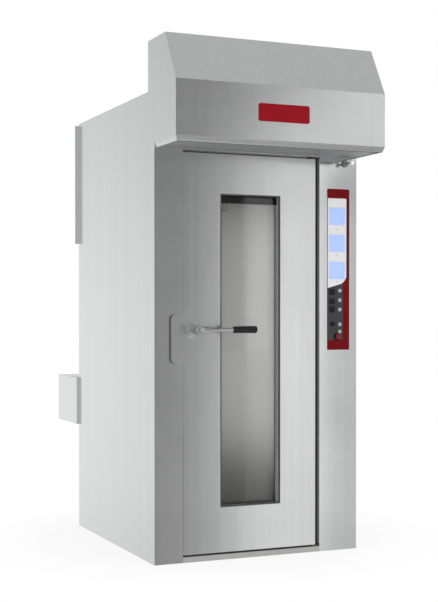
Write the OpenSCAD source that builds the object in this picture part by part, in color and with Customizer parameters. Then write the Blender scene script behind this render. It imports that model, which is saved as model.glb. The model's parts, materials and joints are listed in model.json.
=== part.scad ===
// Rotating rack oven for one rack. Every place below is measured in millimetres from the
// front left corner of the cabinet on the floor: x to the right, y to the back, z up.
// The finished model is then centred on the cabinet's footprint.

/* [Cabinet] */
// Width of the cabinet over its side panels
case_w = 1100; // [1040:10:1200]
// Depth of the cabinet from its front face to its rear panel
case_d = 1220; // [1140:10:1340]
// Height of the roof above the floor
case_h = 2270; // [2180:10:2400]
// Thickness of the stainless sheet
sheet_t = 2; // [1.5:0.25:2.5]
// Depth of the front portal that carries the door
portal_d = 84; // [80:2:96]
// Height of the base frame
base_h = 23; // [20:1:26]
// Inset of the base frame behind the faces of the cabinet, whose sheets cover it
base_inset = 4; // [3:0.5:6]
// Width of the left door post
jamb_w = 146.5; // [140:0.5:155]
// Width of the control column on the right
column_w = 212; // [206:1:225]

/* [Baking chamber] */
// Distance from the left side panel to the chamber's left wall
chamber_in = 90; // [84:1:98]
// Distance from the chamber's right wall to the right side panel
chamber_right = 180; // [174:1:190]
// Space behind the chamber for heaters, fan and insulation
chamber_back = 270; // [256:2:284]
// Space above the chamber for insulation and the rack drive
chamber_above = 425; // [415:5:450]
// Thickness of the chamber floor plate
floor_t = 5; // [3:0.5:7]
// Thickness of the insulation above the chamber
ceiling_wool_t = 98; // [85:1:100]
// Thickness of the insulation in the left wall, the rest being an air channel
left_wool_t = 50; // [40:1:60]
// Thickness of the insulation in the right wall
right_wool_t = 88; // [70:1:100]
// Thickness of the insulation in the rear wall
rear_wool_t = 78; // [65:1:85]
// Radius of the chamber lamps
lamp_r = 36; // [28:1:44]

/* [Door] */
// Gap between the door and the left post
door_gap = 2.5; // [2:0.5:4]
// Width of the open reveal between the door and the control column
reveal_w = 24; // [22:0.5:28]
// Depth of the rebate that the door closes into
rebate_d = 27; // [25.5:0.5:30]
// Thickness of the door's outer flange
flange_t = 20; // [19:0.25:21]
// Depth of the insulated plug behind the flange
plug_d = 50; // [46:1:54]
// Gap between the door and the sill below it
door_lift = 10; // [9:0.5:12]
// Height of the sill
sill_h = 27; // [26.5:0.5:32]
// Width of the rebate's step beside the chamber mouth on the left
step_w = 28.5; // [26:0.5:31]
// Width of the door's left stile
left_stile_w = 193.5; // [185:0.5:215]
// Width of the door's right stile
right_stile_w = 196.5; // [185:0.5:215]
// Height of the door's bottom rail
bottom_rail_h = 220; // [200:1:260]
// Height of the door's top rail
top_rail_h = 192; // [175:1:220]
// Depth of the window's reveal
glass_set = 36; // [33:0.5:39]
// Thickness of each glass pane
glass_t = 5; // [4:0.5:6]
// Distance of the hinge axis from the door's right edge
hinge_in = 9; // [8.5:0.25:9.5]
// Distance of the hinge axis behind the door's front face
hinge_back = 12; // [11:0.5:13]
// Radius of the hinge pins
pin_r = 6; // [4.5:0.25:6.5]

/* [Latch lever] */
// Distance of the lever's spindle from the door's left edge
lever_in = 42; // [41:0.5:44]
// Height of the spindle above the floor
lever_z = 1125; // [1060:5:1190]
// Radius of the escutcheon
disc_r = 40; // [34:1:41]
// Thickness of the escutcheon
disc_t = 12; // [8:1:16]
// Radius of the lever's hub
hub_r = 22; // [20:0.5:26]
// Distance of the lever arm in front of the door
lever_out = 100; // [85:1:115]
// Distance from the spindle to the grip
grip_start = 176; // [160:2:190]
// Length of the grip
grip_len = 123; // [105:1:140]
// Radius of the grip
grip_r = 17.5; // [14:0.5:20]
// Radius of the lever's rod
rod_r = 9; // [7:0.25:10]
// Radius of the spindle
spindle_r = 8; // [6.5:0.25:9]
// Length of the latch cam from the spindle's axis
cam_len = 57; // [55:0.5:60]
// Thickness of the latch cam
cam_t = 11; // [9:0.5:12]
// Height of the keeper on the left post
keeper_h = 238; // [200:2:270]
// Width of the keeper
keeper_w = 66; // [58:1:72]
// Depth of the keeper in front of the post
keeper_d = 20; // [16:0.5:24]

/* [Hood] */
// Height of the hood above the roof
hood_rise = 242; // [220:2:260]
// Drop of the hood below the roof
hood_drop = 278; // [272:1:284]
// Reach of the fascia in front of the cabinet
hood_reach = 280; // [260:2:300]
// Reach of the hood's top in front of the cabinet
hood_top_reach = 147; // [130:1:165]
// Distance of the hood's back behind the cabinet's front face
hood_back_in = 86; // [78:1:94]
// Height of the folded lip under the fascia
lip_h = 26; // [20:1:30]
// Inward lean of the lip
lip_in = 9; // [6:0.5:12]
// Width of the steam intake behind the front lip
intake_w = 50; // [40:1:60]
// Outside radius of the hood's outlet collar
outlet_r = 75; // [65:1:82]
// Length of the outlet collar
outlet_len = 60; // [45:1:70]
// Width of the bare name plate
badge_w = 267; // [220:1:300]
// Height of the bare name plate
badge_h = 84; // [70:1:100]

/* [Control panel] */
// Width of the control panel
panel_w = 124; // [116:1:132]
// Height of the control panel
panel_h = 815; // [800:5:850]
// Height of the panel's lower edge above the floor
panel_z = 1018; // [980:2:1050]
// Distance from the column's left edge to the panel
panel_in = 45; // [36:1:52]
// Thickness of the panel plate
plate_t = 3; // [2:0.25:4]
// Thickness of the printed film
film_t = 0.8; // [0.5:0.1:1.2]
// Width of a display
display_w = 89; // [80:1:95]
// Height of a display
display_h = 87; // [78:1:100]
// Pitch of the three displays
display_pitch = 137; // [125:1:145]
// Side of the square push buttons
button_w = 28; // [24:0.5:32]
// Travel of the push buttons
button_travel = 3; // [2:0.25:3.5]
// Radius of the key switch
key_r = 11; // [9:0.5:13]
// Radius of the emergency stop's cap
stop_r = 18; // [15:0.5:20]
// Travel of the emergency stop
stop_travel = 5; // [3:0.5:6]

/* [Steam damper] */
// Distance of the damper rod from the column's left edge
damper_in = 144; // [135:1:152]
// Height of the damper rod above the chamber's ceiling
damper_up = 117; // [114:0.5:124]
// Radius of the damper rod
damper_r = 6; // [5:0.25:7]
// Radius of the ball knob
ball_r = 12; // [11:0.5:15]
// Distance of the ball's centre in front of the column
ball_out = 74; // [72:1:84]
// Travel of the damper
damper_travel = 50; // [40:1:52]
// Width of the exhaust port
port_w = 100; // [80:1:110]
// Depth of the exhaust port
port_d = 46; // [38:1:48]
// Outside radius of the flue spigot
flue_r = 75; // [65:1:80]
// Height of the flue spigot above the roof
flue_h = 80; // [60:1:100]

/* [Rack drive] */
// Radius of the hook shaft
shaft_r = 17.5; // [15:0.5:20]
// Radius of the driven pulley
driven_r = 120; // [100:1:125]
// Radius of the drive pulley
drive_r = 40; // [34:1:44]
// Distance between the two pulleys
pulley_gap = 260; // [250:2:290]
// Width of the belt
belt_w = 17; // [12:1:20]
// Thickness of the belt
belt_t = 4; // [3:0.5:5]
// Width over the two arms of the rack hook
hook_w = 180; // [150:2:210]
// Height of the opening in the rack hook
hook_open = 38; // [30:1:44]

/* [Air circulation] */
// Radius of the fan impeller
fan_r = 150; // [120:1:170]
// Height of the fan's axis
fan_z = 707; // [690:1:725]
// Radius of the fan shaft
fan_shaft_r = 10; // [8:0.5:12]
// Number of fan blades
blades = 12; // [8:1:16]
// Number of heating elements
heaters = 6; // [4:1:7]
// Number of water trays
trays = 5; // [3:1:6]
// Radius of the water pipe
pipe_r = 10.5; // [8:0.5:12]

/* [Rear] */
// Height of the lower edge of the rear service box
rear_box_z = 576; // [540:2:600]
// Height of the rear service box
rear_box_h = 262; // [240:2:290]
// Depth of the rear service box
rear_box_d = 372; // [330:2:400]
// Depth of the raised band at the root of the rear box
rear_seam = 66; // [50:1:80]
// Overhang of the rear box beyond each side
rear_box_over = 12; // [6:1:18]
// Overhang of the rear cover plate beyond each side
cover_over = 21; // [12:1:30]
// Height of the rear cover plate
cover_h = 666; // [600:2:700]
// Thickness of the rear cover plate
cover_t = 3; // [2:0.5:5]
// Radius of the cable gland's bore
gland_r = 9; // [6:0.5:11]

/* [Hidden] */
$fn = 48;

// Clearances: of a shaft in its bearing, of a loose fit, of a piece above its seat,
// and of something that passes through a hole with room to spare
run_clear = 0.05;
slip_clear = 0.3;
seat_gap = 0.3;
pass_clear = 4;

// Portal and door opening
column_step = 48;
header_gap = 2;
top_gap = 12;
column_x = case_w - column_w;
door_x = jamb_w + door_gap;
door_w = column_x - reveal_w - door_x;
door_right = door_x + door_w;
mouth_x = jamb_w + step_w;
mouth_right = column_x - column_step;
hood_z = case_h - hood_drop;
header_z = hood_z - header_gap;
door_z = sill_h + door_lift;
door_top = header_z - top_gap;
ceiling_z = case_h - chamber_above;
floor_z = base_h + floor_t;

// Chamber
chamber_x = chamber_in;
chamber_w = case_w - chamber_in - chamber_right;
chamber_r = chamber_x + chamber_w;
chamber_d = case_d - chamber_back - portal_d;
chamber_y = portal_d + chamber_d;
center_x = chamber_x + chamber_w / 2;
center_y = portal_d + chamber_d / 2;
rear_wool_y = case_d - sheet_t - rear_wool_t;
ceiling_wool_z = ceiling_z + sheet_t + ceiling_wool_t;

// Door panels: the plug stands inside the chamber mouth
plug_gap = 5;
plug_lift = 14;
plug_x = mouth_x + plug_gap;
plug_right = mouth_right - plug_gap;
plug_z = floor_z + plug_lift;
plug_top = ceiling_z - plug_gap;
plug_back = flange_t + plug_d;
win_x = door_x + left_stile_w;
win_right = door_right - right_stile_w;
win_z = door_z + bottom_rail_h;
win_top = door_top - top_rail_h;
hinge_x = door_right - hinge_in;
hinge_y = hinge_back;
hinge_block_h = 8;
block_w = 43;
block_d = 25;
gasket_w = 15;
gasket_in = 9;

// Latch
lever_x = door_x + lever_in;
cam_w = 20;
cam_y = 4;
cam_slot = cam_t + 4;
keeper_x = jamb_w - keeper_w;

// Hood
hood_top_z = case_h + hood_rise;
fascia_foot = hood_z + lip_h;
fascia_top = case_h + 6;
outlet_x = 300;
outlet_z = case_h + hood_rise / 2;

// Control panel: places on it are measured from its left and upper or lower edge
panel_x = column_x + panel_in;
panel_top = panel_z + panel_h;
face_y = -plate_t - film_t;
display_in = 9;
display_down = 182;
button_in = 24;
button_ups = [293, 245, 205];
key_in = 27;
key_up = 131;
stop_in = 53;
stop_up = 67;
display_x = panel_x + display_in;
display_zs = [for (i = [0 : 2]) panel_top - display_down - i * display_pitch];
button_x = panel_x + button_in;
button_zs = [for (up = button_ups) panel_z + up];
key_x = panel_x + key_in;
key_z = panel_z + key_up;
stop_x = panel_x + stop_in;
stop_z = panel_z + stop_up;
button_stem = 8;
switch_gap = 1;
switch_y = button_stem + stop_travel + switch_gap;
board_y = 46;

// Damper and exhaust duct
damper_x = column_x + damper_in;
damper_z = ceiling_z + damper_up;
duct_x = chamber_r - 70;
gate_reach = 2 * damper_travel + 20;
duct_y = portal_d + gate_reach + 20;
gate_t = 3;
guide_h = 20;
guide_wall = 6;
gate_arm = 30;
gate_y = duct_y - gate_reach;

// Rack drive, stacked upwards from the insulation
bridge_z = ceiling_wool_z + 55;
bridge_half = 60;
bearing_top = bridge_z + 20;
pulley_z = bearing_top + 10;
pulley_h = belt_w + 8;
gearbox_z = pulley_z + pulley_h + 7;
shaft_top = pulley_z + pulley_h + 20;
hook_plate_z = ceiling_z - 55;
motor_x = center_x + pulley_gap;

// Air circulation
impeller_y = chamber_y + 20;
impeller_d = 78;
heater_z = fan_z + fan_r + 105;
heater_pitch = 120;
heater_mid_y = (chamber_y + sheet_t + rear_wool_y) / 2;
tray_x = chamber_r - 230;
tray_w = 200;
pipe_x = tray_x + 110;
pipe_z = fan_z + fan_r + 23;

// Rear
cover_top = case_h - 10;
gland_x = case_w - 150;
gland_z = fan_z + 260;

// Puts a piece measured from the front left corner into the centred frame
module placed() {
    translate([-case_w / 2, -case_d / 2, 0]) children();
}

// A box given by its lowest and highest corners
module span(low, high) {
    translate(low) cube(high - low);
}

// A cylinder along y from y0 to y1
module bar_y(x, z, y0, y1, r) {
    translate([x, y0, z]) rotate([-90, 0, 0]) cylinder(r = r, h = y1 - y0);
}

// A cylinder along z from z0 to z1
module bar_z(x, y, z0, z1, r) {
    translate([x, y, z0]) cylinder(r = r, h = z1 - z0);
}

// A flat outline in y and z, extruded along x from x0 to x1
module slab_x(points, x0, x1) {
    translate([x0, 0, 0]) rotate([90, 0, 90]) linear_extrude(x1 - x0) polygon(points);
}

// A rectangle with two or four round corners
module round_rect(w, h, r, right_round = true) {
    difference() {
        square([w, h]);
        for (top = [0, 1]) translate([0, top * h]) mirror([0, top]) corner_cut(r);
        if (right_round) {
            for (top = [0, 1]) translate([w, top * h]) mirror([1, 0]) mirror([0, top]) corner_cut(r);
        }
    }
}

// What is cut from a square corner at the origin to round it
module corner_cut(r) {
    difference() {
        translate([-1, -1]) square(r + 1);
        translate([r, r]) circle(r);
    }
}

// A flat plate in x and z between two heights, cut from y0 to y1
module plate_y(y0, y1) {
    translate([0, y1, 0]) rotate([90, 0, 0]) linear_extrude(y1 - y0) children();
}

// ---- Cabinet ----

module base_frame() {
    cells = 6;
    top_t = 3;
    rib_t = 6;
    low_x = base_inset;
    low_y = base_inset;
    cell_w = (case_w - 2 * base_inset - rib_t) / cells;
    cell_d = (case_d - 2 * base_inset - rib_t) / cells;
    color("dimgray") placed() difference() {
        span([low_x, low_y, 0], [case_w - base_inset, case_d - base_inset, base_h]);
        for (i = [0 : cells - 1]) for (j = [0 : cells - 1])
            span([low_x + rib_t + i * cell_w, low_y + rib_t + j * cell_d, -1],
                 [low_x + (i + 1) * cell_w, low_y + (j + 1) * cell_d, base_h - top_t]);
    }
}

// Skirt of a post: front and side sheet go on down to the floor, past the base frame
module post_skirt(x0, x1, side_x) {
    t = sheet_t;
    span([x0, 0, 0], [x1, t, base_h]);
    span([side_x, 0, 0], [side_x + t, portal_d, base_h]);
}

// Closed post left of the door, with a step for the rebate and a slot for the latch cam
module left_jamb() {
    t = sheet_t;
    slot_low = lever_z - cam_len + 10;
    slot_high = lever_z + cam_w / 2 + 4;
    color("silver") placed() {
        post_skirt(0, jamb_w, 0);
        difference() {
            translate([0, 0, base_h]) linear_extrude(case_h - base_h) difference() {
                polygon([[0, 0], [jamb_w, 0], [jamb_w, rebate_d], [mouth_x, rebate_d],
                         [mouth_x, portal_d], [0, portal_d]]);
                polygon([[t, t], [jamb_w - t, t], [jamb_w - t, rebate_d + t], [mouth_x - t, rebate_d + t],
                         [mouth_x - t, portal_d - t], [t, portal_d - t]]);
            }
            span([jamb_w - 2 * t, cam_y - 2, slot_low], [jamb_w + t, cam_y + cam_slot - 2, slot_high]);
        }
    }
}

// Closed post right of the door, with the openings of the controls and of the damper rod
module control_column() {
    t = sheet_t;
    boss_r = 16;
    boss_t = 6;
    color("silver") placed() difference() {
        union() {
            translate([0, 0, base_h]) linear_extrude(case_h - base_h) difference() {
                polygon([[case_w, 0], [column_x, 0], [column_x, rebate_d], [mouth_right, rebate_d],
                         [mouth_right, portal_d], [case_w, portal_d]]);
                polygon([[case_w - t, t], [column_x + t, t], [column_x + t, rebate_d + t],
                         [mouth_right + t, rebate_d + t], [mouth_right + t, portal_d - t],
                         [case_w - t, portal_d - t]]);
            }
            bar_y(damper_x, damper_z, -boss_t, t, boss_r);
            post_skirt(column_x, case_w, case_w - t);
        }
        bar_y(damper_x, damper_z, -boss_t - 1, t + 1, damper_r + run_clear);
        bar_y(damper_x, damper_z, portal_d - t - 1, portal_d + 1, damper_r + 1);
        for (z = button_zs) button_hole(z, -1, t + 1);
        bar_y(key_x, key_z, -1, t + 1, key_r + slip_clear);
        bar_y(stop_x, stop_z, -1, t + 1, stem_r() + slip_clear);
    }
}

// Closed box over the door, narrower behind the rebate where the posts have their steps
module header_panel() {
    t = sheet_t;
    color("silver") placed() difference() {
        slab_x([[0, header_z], [0, case_h], [portal_d, case_h], [portal_d, ceiling_z],
                [rebate_d, ceiling_z], [rebate_d, header_z]], jamb_w, column_x);
        slab_x([[t, header_z + t], [t, case_h - t], [portal_d - t, case_h - t],
                [portal_d - t, ceiling_z + t], [rebate_d + t, ceiling_z + t],
                [rebate_d + t, header_z + t]], jamb_w + t, column_x - t);
        for (x = [[jamb_w - 1, mouth_x + 1], [mouth_right - 1, column_x + 1]])
            span([x[0], rebate_d - 1, ceiling_z - 1], [x[1], portal_d + 1, case_h + 1]);
    }
}

module left_side_panel() {
    color("gainsboro") placed()
        span([0, portal_d, 0], [sheet_t, case_d, case_h - sheet_t]);
}

module right_side_panel() {
    color("gainsboro") placed()
        span([case_w - sheet_t, portal_d, 0], [case_w, case_d, case_h - sheet_t]);
}

module rear_panel() {
    color("gainsboro") placed() difference() {
        span([sheet_t, case_d - sheet_t, 0], [case_w - sheet_t, case_d, case_h - sheet_t]);
        bar_y(center_x, fan_z, case_d - 10, case_d + 1, fan_shaft_r + pass_clear);
        bar_y(pipe_x, pipe_z, case_d - 10, case_d + 1, pipe_r + slip_clear);
        bar_y(gland_x, gland_z, case_d - 10, case_d + 1, gland_r + pass_clear);
    }
}

module roof_panel() {
    color("gainsboro") placed() difference() {
        span([0, portal_d, case_h - sheet_t], [case_w, case_d, case_h]);
        duct_block(case_h - 10, case_h + 1, sheet_t + slip_clear);
    }
}

// Four slabs of mineral wool: left, right, rear and above the chamber
module insulation_slabs() {
    front = portal_d + 1;
    gap = 1;
    top = ceiling_wool_z;
    right_x = chamber_r + sheet_t;
    color("khaki") placed() {
        span([sheet_t, front, base_h], [sheet_t + left_wool_t, rear_wool_y - gap, top]);
        span([right_x, front, base_h], [right_x + right_wool_t, rear_wool_y - gap, top]);
        difference() {
            span([sheet_t, rear_wool_y, base_h], [case_w - sheet_t, case_d - sheet_t, top]);
            bar_y(center_x, fan_z, rear_wool_y - 1, case_d, fan_shaft_r + 2 * pass_clear);
            bar_y(pipe_x, pipe_z, rear_wool_y - 1, case_d, pipe_r + 1);
            bar_y(gland_x, gland_z, case_d - 2 * pass_clear - 3, case_d, gland_r + pass_clear + 1);
        }
        difference() {
            span([sheet_t + left_wool_t + gap, front, ceiling_z + sheet_t],
                 [right_x - gap, rear_wool_y - gap, top]);
            bar_z(center_x, center_y, ceiling_z, top + 1, shaft_r + 2 * pass_clear);
            duct_block(ceiling_z, top + 1, sheet_t + 1);
        }
    }
}

// ---- Baking chamber ----

// Left chamber wall with rows of air slots
module air_outlet_panel() {
    rows = 9;
    columns = 4;
    slot_w = 12;
    slot_l = 120;
    pitch_y = chamber_d / (columns + 1);
    pitch_z = (ceiling_z - floor_z) / (rows + 1);
    color("lightgray") placed() difference() {
        span([chamber_x - sheet_t, portal_d, floor_z], [chamber_x, chamber_y, ceiling_z]);
        for (i = [1 : rows]) for (j = [1 : columns])
            span([chamber_x - 2 * sheet_t, portal_d + j * pitch_y - slot_w / 2,
                  floor_z + i * pitch_z - slot_l / 2],
                 [chamber_x + sheet_t, portal_d + j * pitch_y + slot_w / 2,
                  floor_z + i * pitch_z + slot_l / 2]);
    }
}

module chamber_right_wall() {
    color("lightgray") placed()
        span([chamber_r, portal_d, floor_z], [chamber_r + sheet_t, chamber_y, ceiling_z]);
}

// Back wall with the round field of air return slots in front of the fan
module chamber_back_wall() {
    slots = 9;
    slot_w = 14;
    field_r = fan_r * 0.8;
    pitch = 2 * field_r / (slots + 1);
    color("lightgray") placed() difference() {
        span([chamber_x - sheet_t, chamber_y, floor_z],
             [chamber_r + sheet_t, chamber_y + sheet_t, ceiling_z]);
        for (i = [1 : slots]) {
            x = -field_r + i * pitch;
            half = sqrt(field_r * field_r - x * x);
            span([center_x + x - slot_w / 2, chamber_y - 1, fan_z - half],
                 [center_x + x + slot_w / 2, chamber_y + sheet_t + 1, fan_z + half]);
        }
    }
}

module chamber_ceiling() {
    color("lightgray") placed() difference() {
        span([chamber_x - sheet_t, portal_d, ceiling_z],
             [chamber_r + sheet_t, chamber_y + sheet_t, ceiling_z + sheet_t]);
        bar_z(center_x, center_y, ceiling_z - 1, ceiling_z + sheet_t + 1, shaft_r + pass_clear);
        duct_block(ceiling_z - 1, ceiling_z + sheet_t + 1, 0);
    }
}

// Floor plate with the sill under the door, folded down over the front of the base
module chamber_floor() {
    apron_t = base_inset - 0.2;
    color("lightgray") placed() {
        span([chamber_x - sheet_t, portal_d, base_h], [chamber_r + sheet_t, chamber_y + sheet_t, floor_z]);
        span([jamb_w, apron_t, base_h], [column_x, rebate_d, sill_h]);
        span([mouth_x, apron_t, base_h], [mouth_right, portal_d, sill_h]);
        span([jamb_w, 0, 0], [column_x, apron_t, sill_h]);
    }
}

// Round lamps on the chamber's right wall near the door
module chamber_lamps() {
    lamp_t = 12;
    lamp_in = 80;
    lamp_up = 560;
    lamp_down = 450;
    lamp_y = portal_d + lamp_in;
    color("lightyellow") placed() for (z = [floor_z + lamp_up, ceiling_z - lamp_down])
        translate([chamber_r - lamp_t, lamp_y, z]) rotate([0, 90, 0]) {
            cylinder(r = lamp_r, h = lamp_t);
        }
}

// ---- Heating, air and steam ----

// Hairpin elements lying one above the other, welded into one flange
module heating_elements() {
    r = 6;
    half = 35;
    near_x = chamber_x + 120;
    head_t = 4;
    far_x = chamber_r + sheet_t - head_t;
    color("darkslategray") placed() {
        span([far_x, heater_mid_y - 60, heater_z - 40],
             [far_x + head_t, heater_mid_y + 60, heater_z + (heaters - 1) * heater_pitch + 40]);
        for (i = [0 : heaters - 1]) translate([0, heater_mid_y, heater_z + i * heater_pitch]) {
            for (side = [-1, 1]) translate([near_x, side * half, 0]) rotate([0, 90, 0])
                cylinder(r = r, h = far_x - near_x + 1);
            translate([near_x, 0, 0]) rotate([0, 0, 90]) rotate_extrude(angle = 180)
                translate([half, 0]) circle(r);
        }
    }
}

module fan_motor() {
    foot_t = 4;
    body_r = 75;
    body_d = 180;
    bore_d = 70;
    color("slategray") placed() difference() {
        union() {
            span([center_x - 100, case_d, fan_z - 100], [center_x + 100, case_d + foot_t, fan_z + 100]);
            bar_y(center_x, fan_z, case_d + foot_t, case_d + foot_t + body_d, body_r);
            bar_y(center_x, fan_z, case_d + foot_t + body_d, case_d + foot_t + body_d + 40, body_r + 6);
        }
        bar_y(center_x, fan_z, case_d - 1, case_d + bore_d, fan_shaft_r + run_clear);
    }
}

module fan_impeller() {
    plate = 3;
    eye_r = fan_r * 0.72;
    back_y = impeller_y + impeller_d;
    color("gray") placed() {
        bar_y(center_x, fan_z, back_y - plate, back_y, fan_r);
        bar_y(center_x, fan_z, back_y - 45, back_y, 3 * fan_shaft_r);
        bar_y(center_x, fan_z, back_y - 5, case_d + 60, fan_shaft_r);
        difference() {
            bar_y(center_x, fan_z, impeller_y, impeller_y + plate, fan_r);
            bar_y(center_x, fan_z, impeller_y - 1, impeller_y + plate + 1, eye_r);
        }
        for (i = [0 : blades - 1]) translate([center_x, 0, fan_z]) rotate([0, i * 360 / blades, 0])
            span([eye_r - 20, impeller_y + 1, -1.5], [fan_r - 4, back_y - 1, 1.5]);
    }
}

// Stack of water trays on two side plates, with the pipe that feeds the top one
// and the nut that holds the pipe in the rear panel
module steam_generator() {
    side_t = 4;
    tray_d = 110;
    tray_h = 20;
    wall = 3;
    low_y = heater_mid_y - tray_d / 2;
    tray_pitch = 90;
    first_tray = base_h + 60;
    top_tray = first_tray + (trays - 1) * tray_pitch;
    pipe_out = 42;
    nut_t = 6;
    color("lightslategray") placed() {
        for (x = [tray_x, tray_x + tray_w - side_t])
            span([x, low_y, base_h], [x + side_t, low_y + tray_d, top_tray + tray_h]);
        for (i = [0 : trays - 1]) translate([0, 0, first_tray + i * tray_pitch]) difference() {
            span([tray_x, low_y, 0], [tray_x + tray_w, low_y + tray_d, tray_h]);
            span([tray_x + side_t, low_y + wall, wall],
                 [tray_x + tray_w - side_t, low_y + tray_d - wall, tray_h + 1]);
        }
        bar_z(pipe_x, heater_mid_y, top_tray + 1, pipe_z, pipe_r);
        translate([pipe_x, heater_mid_y, pipe_z]) sphere(pipe_r);
        bar_y(pipe_x, pipe_z, heater_mid_y, case_d + pipe_out, pipe_r);
        bar_y(pipe_x, pipe_z, case_d, case_d + nut_t, pipe_r + 5);
    }
}

function duct_mid_y() = duct_y + port_d / 2;

// The rectangular passage of the exhaust duct, grown on all sides
module duct_block(z0, z1, grow) {
    span([duct_x - port_w / 2 - grow, duct_y - grow, z0],
         [duct_x + port_w / 2 + grow, duct_y + port_d + grow, z1]);
}

// Duct from the chamber's ceiling through the gate guide to the round flue spigot,
// which stands on the roof with its flange
module exhaust_duct() {
    t = sheet_t;
    low = damper_z - guide_h / 2;
    high = damper_z + guide_h / 2;
    slot = gate_t / 2 + slip_clear;
    flange = 10;
    color("lightgray") placed() difference() {
        union() {
            duct_block(ceiling_z + t, low + 1, t);
            duct_block(low, high, guide_wall);
            duct_block(high - 1, case_h + 1, t);
            bar_z(duct_x, duct_mid_y(), case_h, case_h + t, flue_r + flange);
            bar_z(duct_x, duct_mid_y(), case_h, case_h + flue_h, flue_r);
        }
        duct_block(ceiling_z - 1, case_h + t + 1, 0);
        bar_z(duct_x, duct_mid_y(), case_h + t, case_h + flue_h + 1, flue_r - t);
        span([duct_x - port_w / 2 - 2 - slip_clear, duct_y - 50, damper_z - slot],
             [duct_x + port_w / 2 + 2 + slip_clear, duct_y + port_d + 50, damper_z + slot]);
    }
}

// Rod, arm and gate: pushed in, the gate shuts the exhaust port
module damper_slide() {
    color("lightsteelblue") placed() {
        bar_y(damper_x, damper_z, -ball_out + ball_r / 2, gate_y + gate_arm / 2, damper_r);
        span([duct_x - port_w / 2 - 2, gate_y, damper_z - gate_t / 2],
             [duct_x + port_w / 2 + 2, duct_y - 2, damper_z + gate_t / 2]);
        span([duct_x, gate_y, damper_z - gate_t / 2],
             [damper_x + 12, gate_y + gate_arm, damper_z + gate_t / 2]);
    }
}

module damper_knob() {
    color("white") placed() difference() {
        translate([damper_x, -ball_out, damper_z]) rotate([90, 0, 0]) sphere(ball_r);
        bar_y(damper_x, damper_z, -ball_out + ball_r / 2, 0, damper_r + run_clear);
    }
}

// ---- Rack drive ----

// Cross beam between the side panels, with the bearing housing of the hook shaft
module drive_bridge() {
    t = 4;
    flange_h = 40;
    housing_r = 50;
    color("darkgray") placed() difference() {
        union() {
            span([sheet_t, center_y - bridge_half, bridge_z - t],
                 [case_w - sheet_t, center_y + bridge_half, bridge_z]);
            for (y = [center_y - bridge_half, center_y + bridge_half - t])
                span([sheet_t, y, bridge_z - flange_h], [case_w - sheet_t, y + t, bridge_z]);
            bar_z(center_x, center_y, bridge_z - 30, bearing_top, housing_r);
        }
        bar_z(center_x, center_y, bridge_z - 31, bearing_top + 1, shaft_r + run_clear);
    }
}

module hook_shaft() {
    color("lightsteelblue") placed() {
        bar_z(center_x, center_y, hook_plate_z + 12, shaft_top, shaft_r);
        bar_z(center_x, center_y, bearing_top + seat_gap, pulley_z, shaft_r + 12);
    }
}

// Carrier that the rack's top bar slides into
module rack_hook() {
    half = hook_w / 2;
    bar_t = 12;
    arm_t = 6;
    lip = 30;
    bar_d = 20;
    low = hook_plate_z - hook_open;
    color("lightsteelblue") placed() translate([center_x, center_y, 0]) difference() {
        union() {
            span([-half, -bar_d, hook_plate_z], [half, bar_d, hook_plate_z + bar_t]);
            for (side = [0, 1]) mirror([side, 0, 0]) {
                span([half - arm_t, -bar_d, low - arm_t], [half, bar_d, hook_plate_z + 1]);
                span([half - lip, -bar_d, low - arm_t], [half, bar_d, low]);
            }
            bar_z(0, 0, hook_plate_z, hook_plate_z + 42, shaft_r + 11);
        }
        bar_z(0, 0, hook_plate_z + bar_t, hook_plate_z + 50, shaft_r + run_clear);
    }
}

// Flanged belt pulley on a shaft; z0 is its lower face
module pulley(r, bore) {
    flange = 4;
    difference() {
        union() {
            bar_z(0, 0, 0, pulley_h, r);
            bar_z(0, 0, 0, flange, r + belt_t + 1);
            bar_z(0, 0, pulley_h - flange, pulley_h, r + belt_t + 1);
        }
        if (bore > 0) bar_z(0, 0, -1, pulley_h + 1, bore);
    }
}

module driven_pulley() {
    color("darkgray") placed() translate([center_x, center_y, pulley_z]) difference() {
        pulley(driven_r, shaft_r + run_clear);
        for (a = [0 : 60 : 359]) rotate(a) translate([driven_r * 0.58, 0, -1])
            cylinder(r = driven_r * 0.2, h = pulley_h + 2);
    }
}

module drive_pulley() {
    color("darkgray") placed() translate([motor_x, center_y, pulley_z]) {
        pulley(drive_r, 0);
        bar_z(0, 0, pulley_h - 1, pulley_h + 45, 10);
    }
}

// Outline around both pulleys, grown from their radii: two circles and their tangents
module belt_outline(grow) {
    big = driven_r + grow;
    small = drive_r + grow;
    a = acos((big - small) / pulley_gap);
    circle(big);
    translate([pulley_gap, 0]) circle(small);
    polygon([[big * cos(a), big * sin(a)], [pulley_gap + small * cos(a), small * sin(a)],
             [pulley_gap + small * cos(a), -small * sin(a)], [big * cos(a), -big * sin(a)]]);
}

module drive_belt() {
    color([0.12, 0.12, 0.12]) placed()
        translate([center_x, center_y, pulley_z + (pulley_h - belt_w) / 2 + slip_clear])
            linear_extrude(belt_w - 2 * slip_clear) difference() {
                belt_outline(belt_t);
                belt_outline(slip_clear);
            }
}

// Gearbox on its pedestal, with the motor on top
module drive_motor() {
    box_h = 60;
    half = 55;
    left = motor_x - 45;
    right = motor_x + 135;
    body_x = motor_x + 75;
    color("slategray") placed() difference() {
        union() {
            span([left, center_y - half, gearbox_z], [right, center_y + half, gearbox_z + box_h]);
            span([right - 70, center_y - half, bridge_z], [right, center_y + half, gearbox_z + 1]);
            bar_z(body_x, center_y, gearbox_z + box_h - 1, gearbox_z + box_h + 80, half - 3);
            bar_z(body_x, center_y, gearbox_z + box_h + 80, gearbox_z + box_h + 100, half);
        }
        bar_z(motor_x, center_y, gearbox_z - 1, gearbox_z + 45, 10 + run_clear);
    }
}

// ---- Hood ----

// Outer faces of the folded lip: the front one leans back, the side ones lean in
function front_lip(back) = [[-hood_reach + back, fascia_foot], [-hood_reach + lip_in + back, hood_z]];

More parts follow.
